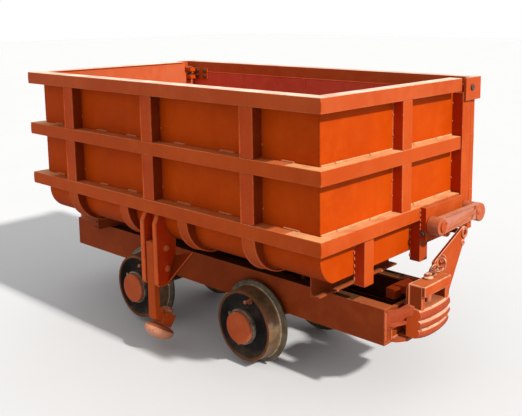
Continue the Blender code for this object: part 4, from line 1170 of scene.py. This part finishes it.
def latch_arm(label, side):
    """Cast arm: a drum hub, a recessed web with one slanting rib, and a round head with its dome."""
    hub_r, head_r = 0.041, 0.045
    ay, az = LATCH
    by, bz = LATCH_HEAD
    outline = arc(LATCH, (hub_r, hub_r), 95, 285, 20) + [(ay + 0.07, az - 0.036), (by - 0.072, bz - 0.024)]
    outline += arc(LATCH_HEAD, (head_r, head_r), -140, 80, 24)
    bm = bmesh.new()
    prism(bm, outline, "x", side * 1.102, side * LATCH_X)
    tools = []
    upper = [(0.274, 0.674), (0.505, 0.701), (0.526, 0.709), (0.534, 0.7275), (0.25, 0.7275), (0.262, 0.7)]
    lower = [(0.33, 0.666), (0.495, 0.67), (0.512, 0.69), (0.345, 0.67)]
    for pocket, depth in ((upper, 0.011), (lower, 0.009)):
        tool = bmesh.new()
        prism(tool, pocket, "x", side * (LATCH_X - depth), side * 1.14)
        tools.append(tool)
    tools.append(rod(0.0166, (side, ay, az), (side, 0, 0), 0.2))
    bm = cut_with(bm, tools, f"latch_{label}")
    soften(bm, 0.004, 3, 30)
    drum = [(0.0166, 0), (hub_r - 0.003, 0), (hub_r, 0.002), (hub_r, 0.057), (hub_r - 0.0015, 0.0595),
            (hub_r - 0.004, 0.0608), (0.019, 0.0608), (0.0166, 0.0595)]
    revolve(bm, drum, (side * 1.0745, ay, az), (side, 0, 0), 64, 1)
    head = [(0, 0), (head_r - 0.004, 0), (head_r - 0.001, 0.002), (head_r - 0.0005, 0.084),
            (head_r - 0.002, 0.0875), (head_r - 0.005, 0.0893), (0, 0.0893)]
    revolve(bm, head, (side * 1.046, by, bz), (side, 0, 0), 64, 1)
    dome = [(0, -0.003), (0.018, -0.003), (0.018, 0.0), (0.0155, 0.004), (0.0095, 0.0068), (0, 0.0078)]
    revolve(bm, dome, (side * 1.1345, by - 0.024, bz + 0.01), (side, 0, 0), 32, 1)
    rib = [(side * 1.129, 0.27 + t * 0.03, 0.668 + t * 0.0036) for t in range(9)]
    tube(bm, rib, [0.003 + 0.0004 * t for t in range(9)], 12, False, 1)
    plug = [(0, -0.002), (0.006, -0.002), (0.006, 0.006), (0.004, 0.008), (0, 0.0085)]
    revolve(bm, plug, (side * 1.135, ay + 0.026, az + 0.014), (side, 0, 0), 16, 1)
    claws = bmesh.new()
    lip = [(by, bz - 0.03), (by + 0.055, bz - 0.0325), (by + 0.078, bz - 0.033), (by + 0.118, bz - 0.045),
           (by + 0.12, bz - 0.02), (by + 0.085, bz + 0.015), (by, bz + 0.035)]
    prism(claws, lip, "x", side * 1.047, side * 1.0725)
    soften(claws, 0.003)
    merge(bm, claws)
    finish(f"latch_arm_{label}", bm, (ARM, ARM_EDGE), 45)


# ---- the pieces, in a fixed order
for side_label, rib_x in zip(("left", "middle", "right"), RIB_X):
    side_rib(side_label, rib_x)
for side_label, end in ENDS:
    floor_rib(side_label, end)
    end_rib(side_label, end)
for side_label, end in ENDS:
    door_upright(side_label, end, "rib", DOOR_RIB_X - RIB_W / 2, DOOR_RIB_X + RIB_W / 2)
    door_upright(side_label, end, "stile", STILE_X, DOOR_X)
for make in (rail_caps, tub_welds, door_welds, inner_seams, tub_fittings, floor_lip, door_fittings):
    make()
for side_label, end in ENDS:
    roller_bracket(side_label, end)
dump_roller()
roller_axle()
for side_label, end in ENDS:
    for row_label, row_side in ROWS:
        wheel(side_label, row_label, end * WHEEL_X, row_side)
        hub_cap(side_label, row_label, end * WHEEL_X, row_side)
for side_label, end in ENDS:
    axle(side_label, end * WHEEL_X)
for side_label, end in ENDS:
    for make in (coupler_lips, coupler_jaw, coupler_base, coupling_pin, pin_chain, end_plate,
                 pivot_bracket):
        make(side_label, end)
frame_fittings()
frame_welds()
for side_label, end in ENDS:
    latch_arm(side_label, end)


# ---- floor, light and camera
def studio():
    mesh = bpy.data.meshes.new("floor")
    bm = bmesh.new()
    bmesh.ops.create_grid(bm, x_segments=2, y_segments=2, size=40)
    bm.to_mesh(mesh)
    bm.free()
    floor = bpy.data.objects.new("floor", mesh)
    floor.location = (0, 0, -0.0005)
    bpy.context.scene.collection.objects.link(floor)
    s = Shade("floor_finish", 0.0, 0.2)
    colour = s.mix(s.noise(0.8, 3.0), *FLOOR_SHADES)
    mesh.materials.append(s.done(colour, s.fit(s.noise(3.0, 3.0), 0.3, 0.7, 0.75, 0.85)))

    world = bpy.data.worlds.new("studio")
    world.use_nodes = True
    world.node_tree.nodes["Background"].inputs["Color"].default_value = (1.0, 1.0, 1.0, 1.0)
    world.node_tree.nodes["Background"].inputs["Strength"].default_value = 1.0
    bpy.context.scene.world = world

    sun = bpy.data.lights.new("key", "SUN")
    sun.energy = SUN_ENERGY
    sun.angle = SUN_WIDTH
    sun.color = SUN_COLOUR
    key = bpy.data.objects.new("key", sun)
    key.rotation_euler = Vector(SUN_FROM).to_track_quat("Z", "Y").to_euler()
    bpy.context.scene.collection.objects.link(key)


def camera():
    azimuth, elevation, roll = (math.radians(a) for a in CAMERA_TURN)
    back = Vector((math.sin(azimuth) * math.cos(elevation), -math.cos(azimuth) * math.cos(elevation),
                   math.sin(elevation)))
    right = Vector((math.cos(azimuth), math.sin(azimuth), 0))
    up = back.cross(right)
    turn = Matrix((right, up, back)).transposed() @ Matrix.Rotation(roll, 3, "Z")
    data = bpy.data.cameras.new("camera")
    data.lens = CAMERA_LENS
    data.sensor_width = CAMERA_SENSOR
    data.shift_x, data.shift_y = CAMERA_SHIFT
    obj = bpy.data.objects.new("camera", data)
    obj.matrix_world = Matrix.Translation(CAMERA_AT) @ turn.to_4x4()
    bpy.context.scene.collection.objects.link(obj)
    bpy.context.scene.camera = obj


studio()
camera()
bpy.context.scene.view_settings.view_transform = "Standard"

bpy.context.view_layer.update()
